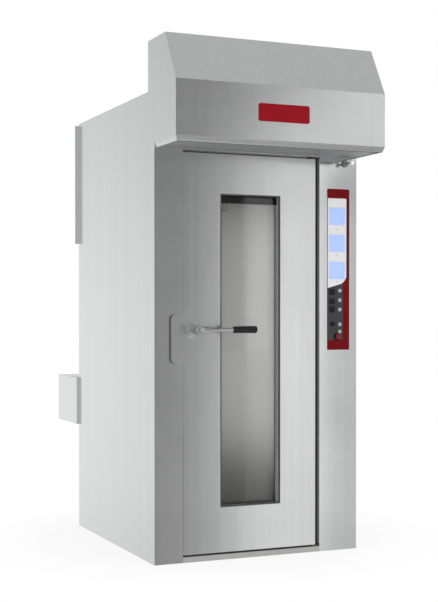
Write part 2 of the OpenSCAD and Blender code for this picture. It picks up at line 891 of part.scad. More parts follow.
// Everything in front of the lip's inner front face
module front_lip_zone() {
    slab_x([[-hood_reach - 1, fascia_foot + 1], [-hood_reach + sheet_t, fascia_foot + 1],
            [-hood_reach + sheet_t, fascia_foot], [-hood_reach + sheet_t + lip_in, hood_z - 1],
            [-hood_reach - 1, hood_z - 1]], -1, case_w + 1);
}

module side_lip() {
    t = sheet_t;
    difference() {
        rotate([90, 0, 0]) linear_extrude(hood_reach)
            polygon([[0, fascia_foot], [t, fascia_foot], [t + lip_in, hood_z], [lip_in, hood_z]]);
        front_lip_zone();
    }
}

module hood_cheeks() {
    t = sheet_t;
    color("gainsboro") placed() for (side = [0, 1]) translate([side * case_w, 0, 0]) mirror([side, 0, 0]) {
        slab_x([[-hood_reach + t, fascia_foot], [-hood_reach + t, fascia_top - t],
                [-hood_top_reach, hood_top_z - t], [hood_back_in - t, hood_top_z - t],
                [hood_back_in - t, case_h], [0, case_h], [0, fascia_foot]], 0, t);
        side_lip();
    }
}

module hood_fascia() {
    t = sheet_t;
    color("gainsboro") placed() {
        span([0, -hood_reach, fascia_foot], [case_w, -hood_reach + t, fascia_top]);
        intersection() {
            slab_x([front_lip(0)[0], front_lip(t)[0], front_lip(t)[1], front_lip(0)[1]], 0, case_w);
            rotate([90, 0, 0]) linear_extrude(hood_reach + 1)
                polygon([[0, fascia_foot], [case_w, fascia_foot],
                         [case_w - lip_in, hood_z], [lip_in, hood_z]]);
        }
    }
}

// Sloping front and flat top, folded from one sheet
module hood_roof() {
    t = sheet_t;
    color("gainsboro") placed() {
        slab_x([[-hood_reach, fascia_top], [-hood_top_reach, hood_top_z], [hood_back_in, hood_top_z],
                [hood_back_in, hood_top_z - t], [-hood_top_reach, hood_top_z - t],
                [-hood_reach + t, fascia_top - t], [-hood_reach + t, fascia_top]], 0, case_w);
    }
}

module hood_back() {
    t = sheet_t;
    wall = 2;
    color("gainsboro") placed() difference() {
        union() {
            span([0, hood_back_in - t, case_h], [case_w, hood_back_in, hood_top_z - t]);
            bar_y(outlet_x, outlet_z, hood_back_in - t, hood_back_in + outlet_len, outlet_r);
        }
        bar_y(outlet_x, outlet_z, hood_back_in - t - 1, hood_back_in + outlet_len + 1, outlet_r - wall);
    }
}

// Plate between the side lips, folded up along the intake and along the header
module hood_underside() {
    t = sheet_t;
    fold = 14;
    z = hood_z + 4;
    side = t + lip_in * (fascia_foot - z) / lip_h;
    front = -hood_reach + lip_in + t + intake_w;
    color("silver") placed() {
        span([side, front, z], [case_w - side, 0, z + t]);
        span([side, front, z], [case_w - side, front + t, z + fold]);
        span([side, -t, z], [case_w - side, 0, z + fold]);
    }
}

module badge_plate() {
    badge_t = 4;
    color("firebrick") placed() translate([case_w / 2 - badge_w / 2, 0, fascia_mid() - badge_h / 2])
        plate_y(-hood_reach - badge_t, -hood_reach) round_rect(badge_w, badge_h, 10);
}

function fascia_mid() = (fascia_foot + fascia_top) / 2;

// ---- Control panel ----

function stem_r() = stop_r - 8;

module button_hole(z, y0, y1) {
    w = button_w + 2 * slip_clear;
    span([button_x - w / 2, y0, z - w / 2], [button_x + w / 2, y1, z + w / 2]);
}

// What passes through the plate and the film
module panel_openings(y0, y1, key_clear) {
    for (z = display_zs)
        span([display_x - slip_clear, y0, z - slip_clear],
             [display_x + display_w + slip_clear, y1, z + display_h + slip_clear]);
    for (z = button_zs) button_hole(z, y0, y1);
    bar_y(key_x, key_z, y0, y1, key_r + key_clear);
    bar_y(stop_x, stop_z, y0, y1, stem_r() + key_clear);
}

module control_panel() {
    color("firebrick") placed() difference() {
        translate([panel_x, 0, panel_z]) plate_y(-plate_t, 0) round_rect(panel_w, panel_h, 4);
        panel_openings(-plate_t - 1, 1, run_clear);
    }
}

module panel_film() {
    color("whitesmoke") placed() difference() {
        translate([panel_x, 0, panel_z]) plate_y(face_y, -plate_t) round_rect(panel_w, panel_h, 4);
        panel_openings(face_y - 1, -plate_t + 1, slip_clear);
    }
}

module display_windows() {
    proud = 0.5;
    color("lightsteelblue") placed() for (z = display_zs)
        span([display_x, face_y - proud, z], [display_x + display_w, 0, z + display_h]);
}

// Circuit board on pillars behind the column's sheet, with the switch bodies in front
module control_board() {
    left = panel_x + 4;
    right = panel_x + panel_w - 4;
    low = panel_z + 12;
    high = panel_z + 345;
    board_t = 2;
    pillar_r = 4;
    switch_w = 30;
    color("darkgreen") placed() {
        span([left, board_y, low], [right, board_y + board_t, high]);
        for (x = [left + 6, right - 6]) for (z = [low + 6, high - 6])
            bar_y(x, z, sheet_t, board_y + 1, pillar_r);
        for (p = concat([for (z = button_zs) [button_x, z]], [[key_x, key_z], [stop_x, stop_z]]))
            span([p[0] - switch_w / 2, switch_y, p[1] - switch_w / 2],
                 [p[0] + switch_w / 2, board_y + 1, p[1] + switch_w / 2]);
    }
}

// A push button; its rim is chamfered
module push_button(z) {
    rim = 2.2;
    proud = button_travel + rim;
    w = button_w / 2;
    color([0.1, 0.1, 0.1]) placed() translate([button_x, 0, z]) {
        span([-w, face_y - proud + 1, -w], [w, button_stem, w]);
        span([-w + 1, face_y - proud, -w + 1], [w - 1, 0, w - 1]);
    }
}

module push_button_1() { push_button(button_zs[0]); }

module push_button_2() { push_button(button_zs[1]); }

module push_button_3() { push_button(button_zs[2]); }

module key_switch() {
    proud = 12;
    key_t = 3;
    color([0.15, 0.15, 0.15]) placed() translate([key_x, 0, key_z]) {
        bar_y(0, 0, face_y - proud, button_stem, key_r);
        span([-key_t, face_y - proud - 4, -key_r + 1], [key_t, face_y - proud + 1, key_r - 1]);
    }
}

module stop_button() {
    cap_t = 11;
    gap = stop_travel + 1.5;
    color("red") placed() {
        bar_y(stop_x, stop_z, face_y - gap - 1, button_stem, stem_r());
        bar_y(stop_x, stop_z, face_y - gap - cap_t, face_y - gap, stop_r - 3);
        bar_y(stop_x, stop_z, face_y - gap - cap_t + 3, face_y - gap, stop_r);
    }
}

// ---- Door ----

module latch_keeper() {
    t = sheet_t;
    corner_r = 25;
    color("silver") placed() translate([keeper_x, 0, lever_z - keeper_h / 2 - 45]) difference() {
        plate_y(-keeper_d, 0) round_rect(keeper_w, keeper_h, corner_r, false);
        plate_y(-keeper_d + t, 1) translate([t, t])
            round_rect(keeper_w - 2 * t, keeper_h - 2 * t, corner_r - t, false);
    }
}

// Bearing blocks of the two hinge pins, on the sill and under the header
module hinge_blocks() {
    color("darkgoldenrod") placed() for (z = [sill_h, header_z - hinge_block_h]) difference() {
        span([hinge_x - hinge_back + 1, 1, z],
             [hinge_x - hinge_back + block_w, block_d + 1, z + hinge_block_h]);
        bar_z(hinge_x, hinge_y, z - 1, z + hinge_block_h + 1, pin_r + run_clear);
    }
}

// Pins set in the door's bottom and top rails
module hinge_pins() {
    deep = 30;
    collar_r = pin_r + 3;
    block_top = sill_h + hinge_block_h;
    color("lightsteelblue") placed() {
        bar_z(hinge_x, hinge_y, sill_h + seat_gap, door_z + deep, pin_r);
        bar_z(hinge_x, hinge_y, block_top + seat_gap, door_z, collar_r);
        bar_z(hinge_x, hinge_y, door_top - deep, header_z - seat_gap, pin_r);
    }
}

// A folded panel of the door: front sheet with its edges turned back, those at the seams
// as far as the inner pan and those at the door's edges around it
module door_pan(x0, x1, z0, z1) {
    t = sheet_t;
    difference() {
        span([x0, 0, z0], [x1, flange_t, z1]);
        span([x0 + t, t, z0 + t], [x1 - t, flange_t + 1, z1 - t]);
        span([door_x + t, flange_t - t, door_z + t], [door_right - t, flange_t + 1, door_top - t]);
    }
}

module door_rails() {
    t = sheet_t;
    color("silver") placed() difference() {
        union() {
            door_pan(door_x, door_right, door_z, win_z);
            door_pan(door_x, door_right, win_top, door_top);
            span([win_x, 0, win_z - t], [win_right, glass_set, win_z]);
            span([win_x, 0, win_top], [win_right, glass_set, win_top + t]);
        }
        for (z = [door_z, door_top - t])
            bar_z(hinge_x, hinge_y, z - 1, z + t + 1, pin_r + slip_clear);
    }
}

module door_stiles() {
    t = sheet_t;
    slot_low = lever_z - cam_len + 10;
    slot_high = lever_z + cam_w / 2 + 4;
    color("silver") placed() difference() {
        union() {
            door_pan(door_x, win_x, win_z, win_top);
            door_pan(win_right, door_right, win_z, win_top);
            span([win_x - t, 0, win_z], [win_x, glass_set, win_top]);
            span([win_right, 0, win_z], [win_right + t, glass_set, win_top]);
        }
        bar_y(lever_x, lever_z, -1, t + 1, spindle_r + 1);
        span([door_x - 1, cam_y - 2, slot_low], [door_x + 2 * t, cam_y + cam_slot - 2, slot_high]);
    }
}

// Inner pan of the door, welded into one: flange sheet, walls of the plug and its back sheet
module door_inner_frame() {
    t = sheet_t;
    fy = flange_t - t;
    pin_room = 40;
    color("lightgray") placed() difference() {
        union() {
            span([door_x + t, fy, door_z + t], [door_right - t, flange_t, door_top - t]);
            span([plug_x, fy, plug_z], [plug_right, plug_back, plug_top]);
        }
        span([plug_x + t, 0, plug_z + t], [plug_right - t, plug_back - t, plug_top - t]);
        span([win_x, 0, win_z], [win_right, plug_back + 1, win_top]);
        for (z = [door_z, door_top - pin_room])
            bar_z(hinge_x, hinge_y, z, z + pin_room, pin_r + slip_clear);
    }
}

// Wool in the plug, in four slabs around the window
module door_insulation() {
    t = sheet_t;
    front = flange_t + 0.5;
    back = plug_back - t - 0.5;
    low = plug_z + t + 0.5;
    high = plug_top - t - 0.5;
    left = plug_x + t + 0.5;
    right = plug_right - t - 0.5;
    edge = 12;
    color("khaki") placed() {
        span([left, front, low], [right, back, win_z - edge]);
        span([left, front, win_top + edge], [right, back, high]);
        span([left, front, win_z - edge + 1], [win_x - edge, back, win_top + edge - 1]);
        span([win_right + edge, front, win_z - edge + 1], [right, back, win_top + edge - 1]);
    }
}

// The two panes, each reaching behind the frame all round
module door_glass() {
    under = 8;
    inner_y = plug_back - sheet_t - glass_t;
    color([0.75, 0.85, 0.88, 0.5]) placed() for (y = [glass_set, inner_y])
        span([win_x - under, y, win_z - under], [win_right + under, y + glass_t, win_top + under]);
}

// Spacer frame between the panes
module window_trim() {
    t = 8;
    front = glass_set + glass_t;
    back = plug_back - sheet_t - glass_t;
    color("silver") placed() {
        for (z = [win_z - t, win_top]) span([win_x - t, front, z], [win_right + t, back, z + t]);
        for (x = [win_x - t, win_right]) span([x, front, win_z], [x + t, back, win_top]);
    }
}

// Face seal on three sides and the sweep under the door
module door_gasket() {
    back = rebate_d - seat_gap;
    left = door_x + gasket_in - 3;
    right = plug_right + 8;
    top = ceiling_z + gasket_in;
    sweep_y = 4;
    sweep_end = hinge_back + 8;
    color([0.1, 0.1, 0.1]) placed() {
        difference() {
            span([left, flange_t, plug_z + 3], [right + gasket_w, back, top + gasket_w]);
            span([left + gasket_w, flange_t - 1, plug_z], [right, back + 1, top]);
        }
        span([door_x + 2, sweep_y, sill_h + seat_gap], [hinge_x - sweep_end, flange_t - 2, door_z]);
    }
}

module escutcheon() {
    color("lightsteelblue") placed() difference() {
        union() {
            bar_y(lever_x, lever_z, -disc_t + 2, 0, disc_r);
            bar_y(lever_x, lever_z, -disc_t, 0, disc_r - 2);
        }
        bar_y(lever_x, lever_z, -disc_t - 1, 1, spindle_r + run_clear);
    }
}

// Hub, spindle, cam and rod of the lever, welded into one
module lever_arm() {
    hub_end = -lever_out - hub_r + 3;
    neck = 34;
    tenon = 40;
    color("lightsteelblue") placed() translate([lever_x, 0, lever_z]) {
        bar_y(0, 0, hub_end + 2, -disc_t - seat_gap, hub_r);
        bar_y(0, 0, hub_end, -disc_t - seat_gap, hub_r - 2);
        bar_y(0, 0, -disc_t - 1, cam_y + cam_t, spindle_r);
        span([-cam_w / 2, cam_y, -cam_len], [cam_w / 2, cam_y + cam_t, cam_w / 2]);
        translate([hub_r - 8, -lever_out, 0]) rotate([0, 90, 0]) {
            cylinder(r1 = hub_r - 4, r2 = rod_r, h = neck);
            cylinder(r = rod_r, h = grip_start + tenon - hub_r + 8);
        }
    }
}

module lever_grip() {
    end_r = grip_r - 2;
    color([0.1, 0.1, 0.1]) placed() translate([lever_x + grip_start, -lever_out, lever_z])
        rotate([0, 90, 0]) difference() {
            union() {
                cylinder(r1 = end_r, r2 = grip_r, h = grip_len - 6);
                translate([0, 0, grip_len - 6]) cylinder(r1 = grip_r, r2 = grip_r - 4, h = 6);
            }
            translate([0, 0, -1]) cylinder(r = rod_r + run_clear, h = 42);
        }
}

// ---- Rear ----

module rear_cover_plate() {
    color("darkgray") placed()
        span([-cover_over, case_d, cover_top - cover_h], [case_w + cover_over, case_d + cover_t, cover_top]);
}

// Casing over the fan motor, flanged on the rear panel, with a raised band at its root
module rear_box() {
    t = sheet_t;
    proud = 1.5;
    flange = 20;
    left = -rear_box_over;
    right = case_w + rear_box_over;
    back = case_d + rear_box_d;
    top = rear_box_z + rear_box_h;
    color("gainsboro") placed() difference() {
        union() {
            span([left, case_d, rear_box_z], [right, back, top]);
            span([left - proud, case_d, rear_box_z - proud],
                 [right + proud, case_d + rear_seam, top + proud]);
        }
        span([left + t, case_d + t, rear_box_z + t], [right - t, back - t, top - t]);
        span([flange, case_d - 1, rear_box_z + flange],
             [case_w - flange, case_d + 2 * t, top - flange]);
    }
}

module cable_gland() {
    nut_r = gland_r + 7;
    color([0.15, 0.15, 0.15]) placed() difference() {
        union() {
            bar_y(gland_x, gland_z, case_d, case_d + 8, nut_r);
            bar_y(gland_x, gland_z, case_d + 7, case_d + 30, gland_r + 4);
            bar_y(gland_x, gland_z, case_d - 8, case_d + 1, gland_r + 3);
        }
        bar_y(gland_x, gland_z, case_d - 9, case_d + 31, gland_r);
    }
}

base_frame();
left_jamb();
control_column();
header_panel();
left_side_panel();
right_side_panel();
rear_panel();
roof_panel();
insulation_slabs();
air_outlet_panel();
chamber_right_wall();
chamber_back_wall();
chamber_ceiling();
chamber_floor();
heating_elements();
fan_motor();
fan_impeller();
steam_generator();
chamber_lamps();
exhaust_duct();
damper_slide();
damper_knob();
drive_bridge();
hook_shaft();
rack_hook();
driven_pulley();
drive_motor();
drive_pulley();
drive_belt();
hood_cheeks();
hood_fascia();
hood_roof();
hood_back();
hood_underside();
badge_plate();
control_panel();
panel_film();
display_windows();
control_board();
push_button_1();
push_button_2();
push_button_3();
key_switch();
stop_button();
latch_keeper();
hinge_blocks();
hinge_pins();
door_rails();
door_stiles();
door_inner_frame();
door_insulation();
door_glass();
window_trim();
door_gasket();
escutcheon();
lever_arm();
lever_grip();
rear_cover_plate();
rear_box();
cable_gland();
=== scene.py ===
import json
import math

import bmesh
import bpy
from mathutils import Euler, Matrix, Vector


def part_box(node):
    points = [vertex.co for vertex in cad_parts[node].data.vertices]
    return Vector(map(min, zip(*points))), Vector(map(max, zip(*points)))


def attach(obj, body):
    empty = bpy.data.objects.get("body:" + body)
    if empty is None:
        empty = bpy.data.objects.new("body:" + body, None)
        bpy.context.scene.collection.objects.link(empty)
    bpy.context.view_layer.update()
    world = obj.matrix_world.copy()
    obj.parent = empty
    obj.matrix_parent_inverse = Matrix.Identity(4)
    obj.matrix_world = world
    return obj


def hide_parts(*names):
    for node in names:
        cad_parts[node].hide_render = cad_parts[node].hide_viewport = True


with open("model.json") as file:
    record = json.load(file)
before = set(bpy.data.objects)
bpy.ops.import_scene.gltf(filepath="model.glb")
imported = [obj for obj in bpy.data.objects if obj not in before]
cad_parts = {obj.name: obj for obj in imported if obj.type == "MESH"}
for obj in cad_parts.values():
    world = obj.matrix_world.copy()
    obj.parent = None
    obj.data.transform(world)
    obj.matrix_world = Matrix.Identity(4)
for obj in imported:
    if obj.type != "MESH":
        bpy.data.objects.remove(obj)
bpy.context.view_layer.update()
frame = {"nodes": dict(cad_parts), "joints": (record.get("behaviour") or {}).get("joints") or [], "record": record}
nodes = frame["nodes"]
record = frame["record"]
bodyOf = {node: body for body, members in record["behaviour"]["bodies"].items() for node in members}
slotOf = {part["node"]: part["material_slot"] for part in record["subparts"]}
jointAt = {joint["name"]: Vector(joint["pos_m"]) for joint in frame["joints"] if "pos_m" in joint}
mm = 0.001


def onlySelect(piece):
    bpy.ops.object.select_all(action="DESELECT")
    piece.select_set(True)
    bpy.context.view_layer.objects.active = piece


def modify(piece, kind, **settings):
    onlySelect(piece)
    modifier = piece.modifiers.new(kind.title(), kind)
    for setting, value in settings.items():
        setattr(modifier, setting, value)
    bpy.ops.object.modifier_apply(modifier=modifier.name)


def settle(piece):
    # the place goes into the mesh, so that the object sits at the origin
    onlySelect(piece)
    bpy.ops.object.transform_apply(location=True, rotation=True, scale=True)


def tidyFaces(piece, flat=0.5):
    # merges what lies together, turns the faces outwards and dissolves the flat edges
    onlySelect(piece)
    bpy.ops.object.mode_set(mode="EDIT")
    bpy.ops.mesh.select_all(action="SELECT")
    bpy.ops.mesh.remove_doubles(threshold=1e-5)
    bpy.ops.mesh.normals_make_consistent(inside=False)
    if flat:
        bpy.ops.mesh.dissolve_limited(angle_limit=math.radians(flat))
    bpy.ops.object.mode_set(mode="OBJECT")


def shadeSmooth(piece, angle=35):
    onlySelect(piece)
    bpy.ops.object.shade_smooth_by_angle(angle=math.radians(angle))


def softEdges(piece, edge, segments=3, sharpest=35, smooth=50):
    # rounds the edges that are sharper than an angle, with flat faces that stay flat
    modify(piece, "BEVEL", width=edge, segments=segments, limit_method="ANGLE",
           angle_limit=math.radians(sharpest), use_clamp_overlap=True)
    shadeSmooth(piece, smooth)
    modify(piece, "WEIGHTED_NORMAL", keep_sharp=True, weight=80)


def dress(piece, finish, slot, body, *replaced):
    piece.data.materials.clear()
    piece.data.materials.append(finish)
    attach(piece, body)
    if replaced:
        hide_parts(*replaced)


def nodeCopy(node, name):
    # a merged copy of a CAD node's mesh, to be worked on
    piece = bpy.data.objects.new(name, nodes[node].data.copy())
    bpy.context.scene.collection.objects.link(piece)
    onlySelect(piece)
    bpy.ops.mesh.customdata_custom_splitnormals_clear()
    tidyFaces(piece)
    return piece


def foldedCopy(node, name, finish, edge, sharpest=35):
    piece = nodeCopy(node, name)
    softEdges(piece, edge, 3, sharpest)
    dress(piece, finish, slotOf[node], bodyOf[node], node)


def added(name, operator, **settings):
    # the object that an operator of Blender adds, named and settled
    bpy.ops.object.select_all(action="DESELECT")
    operator(**settings)
    piece = bpy.context.object
    piece.name = name
    settle(piece)
    return piece


def block(name, low, high, edge=0.0, segments=3):
    piece = added(name, bpy.ops.mesh.primitive_cube_add, size=1,
                  location=[(a + b) / 2 for a, b in zip(low, high)],
                  scale=[b - a for a, b in zip(low, high)])
    if edge:
        softEdges(piece, edge, segments)
    return piece


def profileOf(length, radius, rows):
    # rows of a share of the length, mm past that and mm beyond the radius
    return [(length * share + past * mm, radius + beyond * mm) for share, past, beyond in rows]


def turned(name, start, axis, profile, sides=64):
    # a disc that is extruded and scaled along its axis, as on a lathe: profile holds
    # distances from the start and radii
    axis = Vector(axis)
    start = Vector(start)
    along, radius = profile[0]
    piece = added(name, bpy.ops.mesh.primitive_circle_add, vertices=sides, radius=radius, fill_type="NGON",
                  location=start + axis * along,
                  rotation=Vector((0, 0, 1)).rotation_difference(axis).to_euler())
    bpy.ops.object.mode_set(mode="EDIT")
    bpy.ops.mesh.select_all(action="SELECT")
    for nextAlong, nextRadius in profile[1:]:
        bpy.ops.mesh.extrude_region_move(
            TRANSFORM_OT_translate={"value": tuple(axis * (nextAlong - along))})
        if nextRadius != radius:
            bpy.ops.transform.resize(value=[nextRadius / radius] * 3,
                                     center_override=tuple(start + axis * nextAlong))
        along, radius = nextAlong, nextRadius
    bpy.ops.mesh.select_all(action="SELECT")
    bpy.ops.mesh.normals_make_consistent(inside=False)
    bpy.ops.object.mode_set(mode="OBJECT")
    shadeSmooth(piece)
    return piece


def ring(name, start, axis, length, outer, wall, edge, sides=64):
    # a tube whose wall grows inwards from its outer radius
    axis = Vector(axis)
    piece = added(name, bpy.ops.mesh.primitive_cylinder_add, vertices=sides, radius=outer, depth=length,
                  end_fill_type="NOTHING", location=Vector(start) + axis * length / 2,
                  rotation=Vector((0, 0, 1)).rotation_difference(axis).to_euler())
    modify(piece, "SOLIDIFY", thickness=wall, offset=-1)
    softEdges(piece, edge, 3, 35, 40)
    return piece


def joined(name, pieces):
    bpy.ops.object.select_all(action="DESELECT")
    for piece in pieces:
        piece.select_set(True)
    bpy.context.view_layer.objects.active = pieces[0]
    bpy.ops.object.join()
    pieces[0].name = name
    return pieces[0]


def welded(name, pieces):
    # a union of overlapping pieces into one closed skin
    base, *others = pieces
    for other in others:
        modify(base, "BOOLEAN", operation="UNION", solver="EXACT", object=other)
        bpy.data.objects.remove(other)
    base.name = name
    return base


def selectFaces(piece, wanted):
    # in edit mode: selects the faces whose normal is wanted
    mesh = bmesh.from_edit_mesh(piece.data)
    bpy.ops.mesh.select_mode(type="FACE")
    bpy.ops.mesh.select_all(action="DESELECT")
    for face in mesh.faces:
        if wanted(face.normal):
            face.select_set(True)
    bmesh.update_edit_mesh(piece.data)


def dishFront(piece, part, segments):
    # sinks the middle of the front face inside a border, and softens the edges
    onlySelect(piece)
    bpy.ops.object.mode_set(mode="EDIT")
    selectFaces(piece, lambda normal: normal.y < -0.9)
    bpy.ops.mesh.inset(thickness=part["border"], depth=0)
    bpy.ops.mesh.inset(thickness=part["slope"], depth=-part["dish"])
    bpy.ops.object.mode_set(mode="OBJECT")
    softEdges(piece, part["edge"], segments, 30, 45)


def addNode(tree, kind, settings=None, inputs=None):
    # adds any node: inputs are wires or constants, stops are those of a colour ramp
    node = tree.nodes.new(kind)
    for setting, value in (settings or {}).items():
        if setting == "stops":
            ramp = node.color_ramp
            while len(ramp.elements) < len(value):
                ramp.elements.new(0.5)
            for element, (place, tone) in zip(ramp.elements, value):
                element.position = place
                element.color = (tone, tone, tone, 1) if isinstance(tone, (int, float)) else (*tone, 1)
        else:
            setattr(node, setting, value)
    for key, value in (inputs or {}).items():
        socket = node.inputs[key]
        if isinstance(value, Wire):
            tree.links.new(value.socket, socket)
        elif isinstance(value, (tuple, list)) and socket.type == "RGBA" and len(value) == 3:
            socket.default_value = (*value, 1)
        else:
            socket.default_value = value
    return node


class Wire:
    # a socket that can be used in Python expressions
    def __init__(self, tree, socket):
        self.tree = tree
        self.socket = socket

    def maths(self, operation, *values, clamp=False):
        node = addNode(self.tree, "ShaderNodeMath", {"operation": operation, "use_clamp": clamp},
                       dict(enumerate(values)))
        return Wire(self.tree, node.outputs[0])

    def __add__(self, other): return self.maths("ADD", self, other)
    def __radd__(self, other): return self.maths("ADD", other, self)
    def __sub__(self, other): return self.maths("SUBTRACT", self, other)
    def __rsub__(self, other): return self.maths("SUBTRACT", other, self)
    def __mul__(self, other): return self.maths("MULTIPLY", self, other)
    def __rmul__(self, other): return self.maths("MULTIPLY", other, self)
    def __truediv__(self, other): return self.maths("DIVIDE", self, other)
    def __gt__(self, other): return self.maths("GREATER_THAN", self, other)
    def __lt__(self, other): return self.maths("LESS_THAN", self, other)
    def power(self, other): return self.maths("POWER", self, other)
    def size(self): return self.maths("ABSOLUTE", self)
    def most(self, other): return self.maths("MAXIMUM", self, other)
    def held(self): return self.maths("ADD", self, 0.0, clamp=True)
    def past(self, start, over): return ((self - start) / over).held()
    def short(self, start, over): return ((start - self) / over).held()


class Finish:
    # a material whose nodes are added by short calls
    def __init__(self, name, **constants):
        self.material = bpy.data.materials.new(name)
        self.material.use_nodes = True
        self.tree = self.material.node_tree
        self.shader = self.tree.nodes["Principled BSDF"]
        self.coordinates = self.wire("ShaderNodeTexCoord", output="Object")
        for socket, value in constants.items():
            self.put(socket.replace("_", " "), value)

    def node(self, kind, settings=None, **inputs):
        return addNode(self.tree, kind, settings,
                       {key.replace("_", " "): value for key, value in inputs.items()})

    def wire(self, kind, settings=None, output=0, **inputs):
        return Wire(self.tree, self.node(kind, settings, **inputs).outputs[output])

    def put(self, socket, value):
        target = self.shader.inputs[socket]
        if isinstance(value, Wire):
            self.tree.links.new(value.socket, target)
        else:
            target.default_value = (*value, 1) if target.type == "RGBA" and len(value) == 3 else value

    def noise(self, scale, detail=3.0, stretch=(1, 1, 1), roughness=0.55):
        place = self.wire("ShaderNodeMapping", Vector=self.coordinates, Scale=stretch)
        return self.wire("ShaderNodeTexNoise", output="Fac", Vector=place, Scale=scale, Detail=detail,
                         Roughness=roughness)

    def mix(self, factor, first, second):
        node = addNode(self.tree, "ShaderNodeMix", {"data_type": "RGBA"},
                       {0: factor, 6: first, 7: second})
        return Wire(self.tree, node.outputs[2])

    def ramp(self, value, stops):
        return self.wire("ShaderNodeValToRGB", {"stops": stops}, output="Color", Fac=value)

    def bump(self, height, strength, distance):
        self.put("Normal", self.wire("ShaderNodeBump", Height=height, Strength=strength, Distance=distance))

    def axes(self):
        node = self.node("ShaderNodeSeparateXYZ", Vector=self.coordinates)
        return [Wire(self.tree, output) for output in node.outputs]


def brushedSteel(name, look):
    # sheet with a fine grain along one axis, a slight cloudiness and a few handling marks
    finish = Finish(name, Metallic=1.0, Anisotropic=look["spread"], Anisotropic_Rotation=0.25)
    across, along = look["grainAcross"], look["grainAlong"]
    stretch = {"z": (across, across, along), "x": (along, across, across),
               "y": (across, along, across)}[look["grain"]]
    grain = finish.noise(1.0, 4.0, stretch)
    cloud = finish.noise(look["cloud"], 3.0)
    streak = finish.noise(1.0, 2.0, [size * look["streakSize"] for size in stretch])
    tone = (look["grainShare"] * grain + look["cloudShare"] * cloud + look["streakShare"] * streak).held()
    finish.put("Base Color", finish.mix(tone, look["dark"], look["light"]))
    finish.put("Roughness", look["rough"] + look["grainRough"] * (grain - 0.5)
               + look["cloudRough"] * (cloud - 0.5))
    finish.bump(grain, look["bump"], look["depth"])
    return finish.material


paintLook = {"shine": 0.4, "cloud": 9.0, "detail": 4.0, "fine": 420.0, "vary": 0.12, "bump": 0.12,
             "depth": 0.0003}
plasticLook = {"shine": 0.45, "cloud": 40.0, "detail": 3.0, "fine": 1800.0, "vary": 0.15, "bump": 0.25,
               "depth": 0.0002}
rubberLook = {"shine": 0.5, "cloud": 30.0, "detail": 4.0, "fine": 700.0, "vary": 0.2, "bump": 0.2,
              "depth": 0.0004, "rough": 0.62}


def mattSkin(name, look):
    # paint, plastic or rubber: colour and shine vary a little, over a fine grain
    finish = Finish(name, Metallic=0.0, Specular_IOR_Level=look["shine"])
    cloud = finish.noise(look["cloud"], look["detail"])
    finish.put("Base Color", finish.mix(cloud, look["dark"], look["light"]))
    finish.put("Roughness", look["rough"] + look["vary"] * (cloud - 0.5))
    finish.bump(finish.noise(look["fine"], 2.0), look["bump"], look["depth"])
    return finish.material


def turnedMetal(name, look):
    # polished or machined metal with fine tool marks and a few smudges
    look = {"smudge": 24.0, "marks": 900, "smudgeRough": 0.10, "marksRough": 0.05, "bump": 0.08,
            "depth": 0.0001, **look}
    finish = Finish(name, Metallic=1.0)
    smudge = finish.noise(look["smudge"], 4.0)
    marks = finish.noise(1.0, 3.0, [look["marks"]] * 3)
    finish.put("Base Color", finish.mix(smudge, look["dark"], look["light"]))
    finish.put("Roughness", look["rough"] + look["smudgeRough"] * (smudge - 0.5)
               + look["marksRough"] * (marks - 0.5))
    finish.bump(marks, look["bump"], look["depth"])
    return finish.material


def heatedSteel(name, look):
    # chamber sheet: dulled by the heat, with straw and brown tints and faint dried splashes
    look = {"grain": (500, 500, 12), "cloud": 2.2, "splash": 70.0, "tintGain": 1.6, "tintFrom": 0.45,
            "spotFrom": 0.66, "spotFull": 0.74, "spotShare": 0.18, "cloudRough": 0.12, "grainRough": 0.06,
            "bump": 0.05, "depth": 0.0002, **look}
    finish = Finish(name, Metallic=look["metal"])
    grain = finish.noise(1.0, 3.0, look["grain"])
    cloud = finish.noise(look["cloud"], 4.0)
    splash = finish.noise(look["splash"], 2.0)
    tinted = finish.mix((cloud * look["tintGain"] - look["tintFrom"]).held(), look["plain"], look["straw"])
    spots = finish.ramp(splash, [(0.0, 0.0), (look["spotFrom"], 0.0), (look["spotFull"], 1.0), (1.0, 1.0)])
    finish.put("Base Color", finish.mix(spots * look["spotShare"], tinted, look["brown"]))
    finish.put("Roughness", look["rough"] + look["cloudRough"] * (cloud - 0.5)
               + look["grainRough"] * (grain - 0.5))
    finish.bump(grain, look["bump"], look["depth"])
    return finish.material


def mineralWool(name, look):
    finish = Finish(name, Metallic=0.0, Roughness=0.95)
    fibres = finish.noise(1.0, 5.0, look["fibres"], 0.7)
    clumps = finish.noise(look["clumps"], 4.0)
    tone = (look["fibreShare"] * fibres + look["clumpShare"] * clumps).held()
    finish.put("Base Color", finish.mix(tone, look["dark"], look["light"]))
    finish.bump(fibres, look["bump"], look["depth"])
    return finish.material


def temperedGlass(name, look):
    finish = Finish(name, Base_Color=look["tint"], Metallic=0.0, IOR=look["bend"], Transmission_Weight=1.0)
    haze = finish.noise(look["haze"], 4.0)
    finish.put("Roughness", look["rough"] + look["hazeRough"] * haze)
    return finish.material


def lampGlass(name, look):
    finish = Finish(name, Base_Color=look["tint"], Metallic=0.0, Roughness=0.4,
                    Emission_Color=look["glow"], Emission_Strength=look["strength"])
    finish.bump(finish.noise(look["ripple"], 2.0), look["bump"], look["depth"])
    return finish.material


def waves(x, z, acrossX, acrossZ):
    # a lattice of waves between -1 and 1
    return x.maths("SINE", x * acrossX) * z.maths("SINE", z * acrossZ)


def circuitBoard(name, look):
    finish = Finish(name, Metallic=0.0, Roughness=0.4)
    x, _, z = finish.axes()
    tracks = waves(x, z, look["acrossX"], look["acrossZ"]).size() > look["between"]
    finish.put("Base Color", finish.mix(tracks, look["board"], look["track"]))
    return finish.material


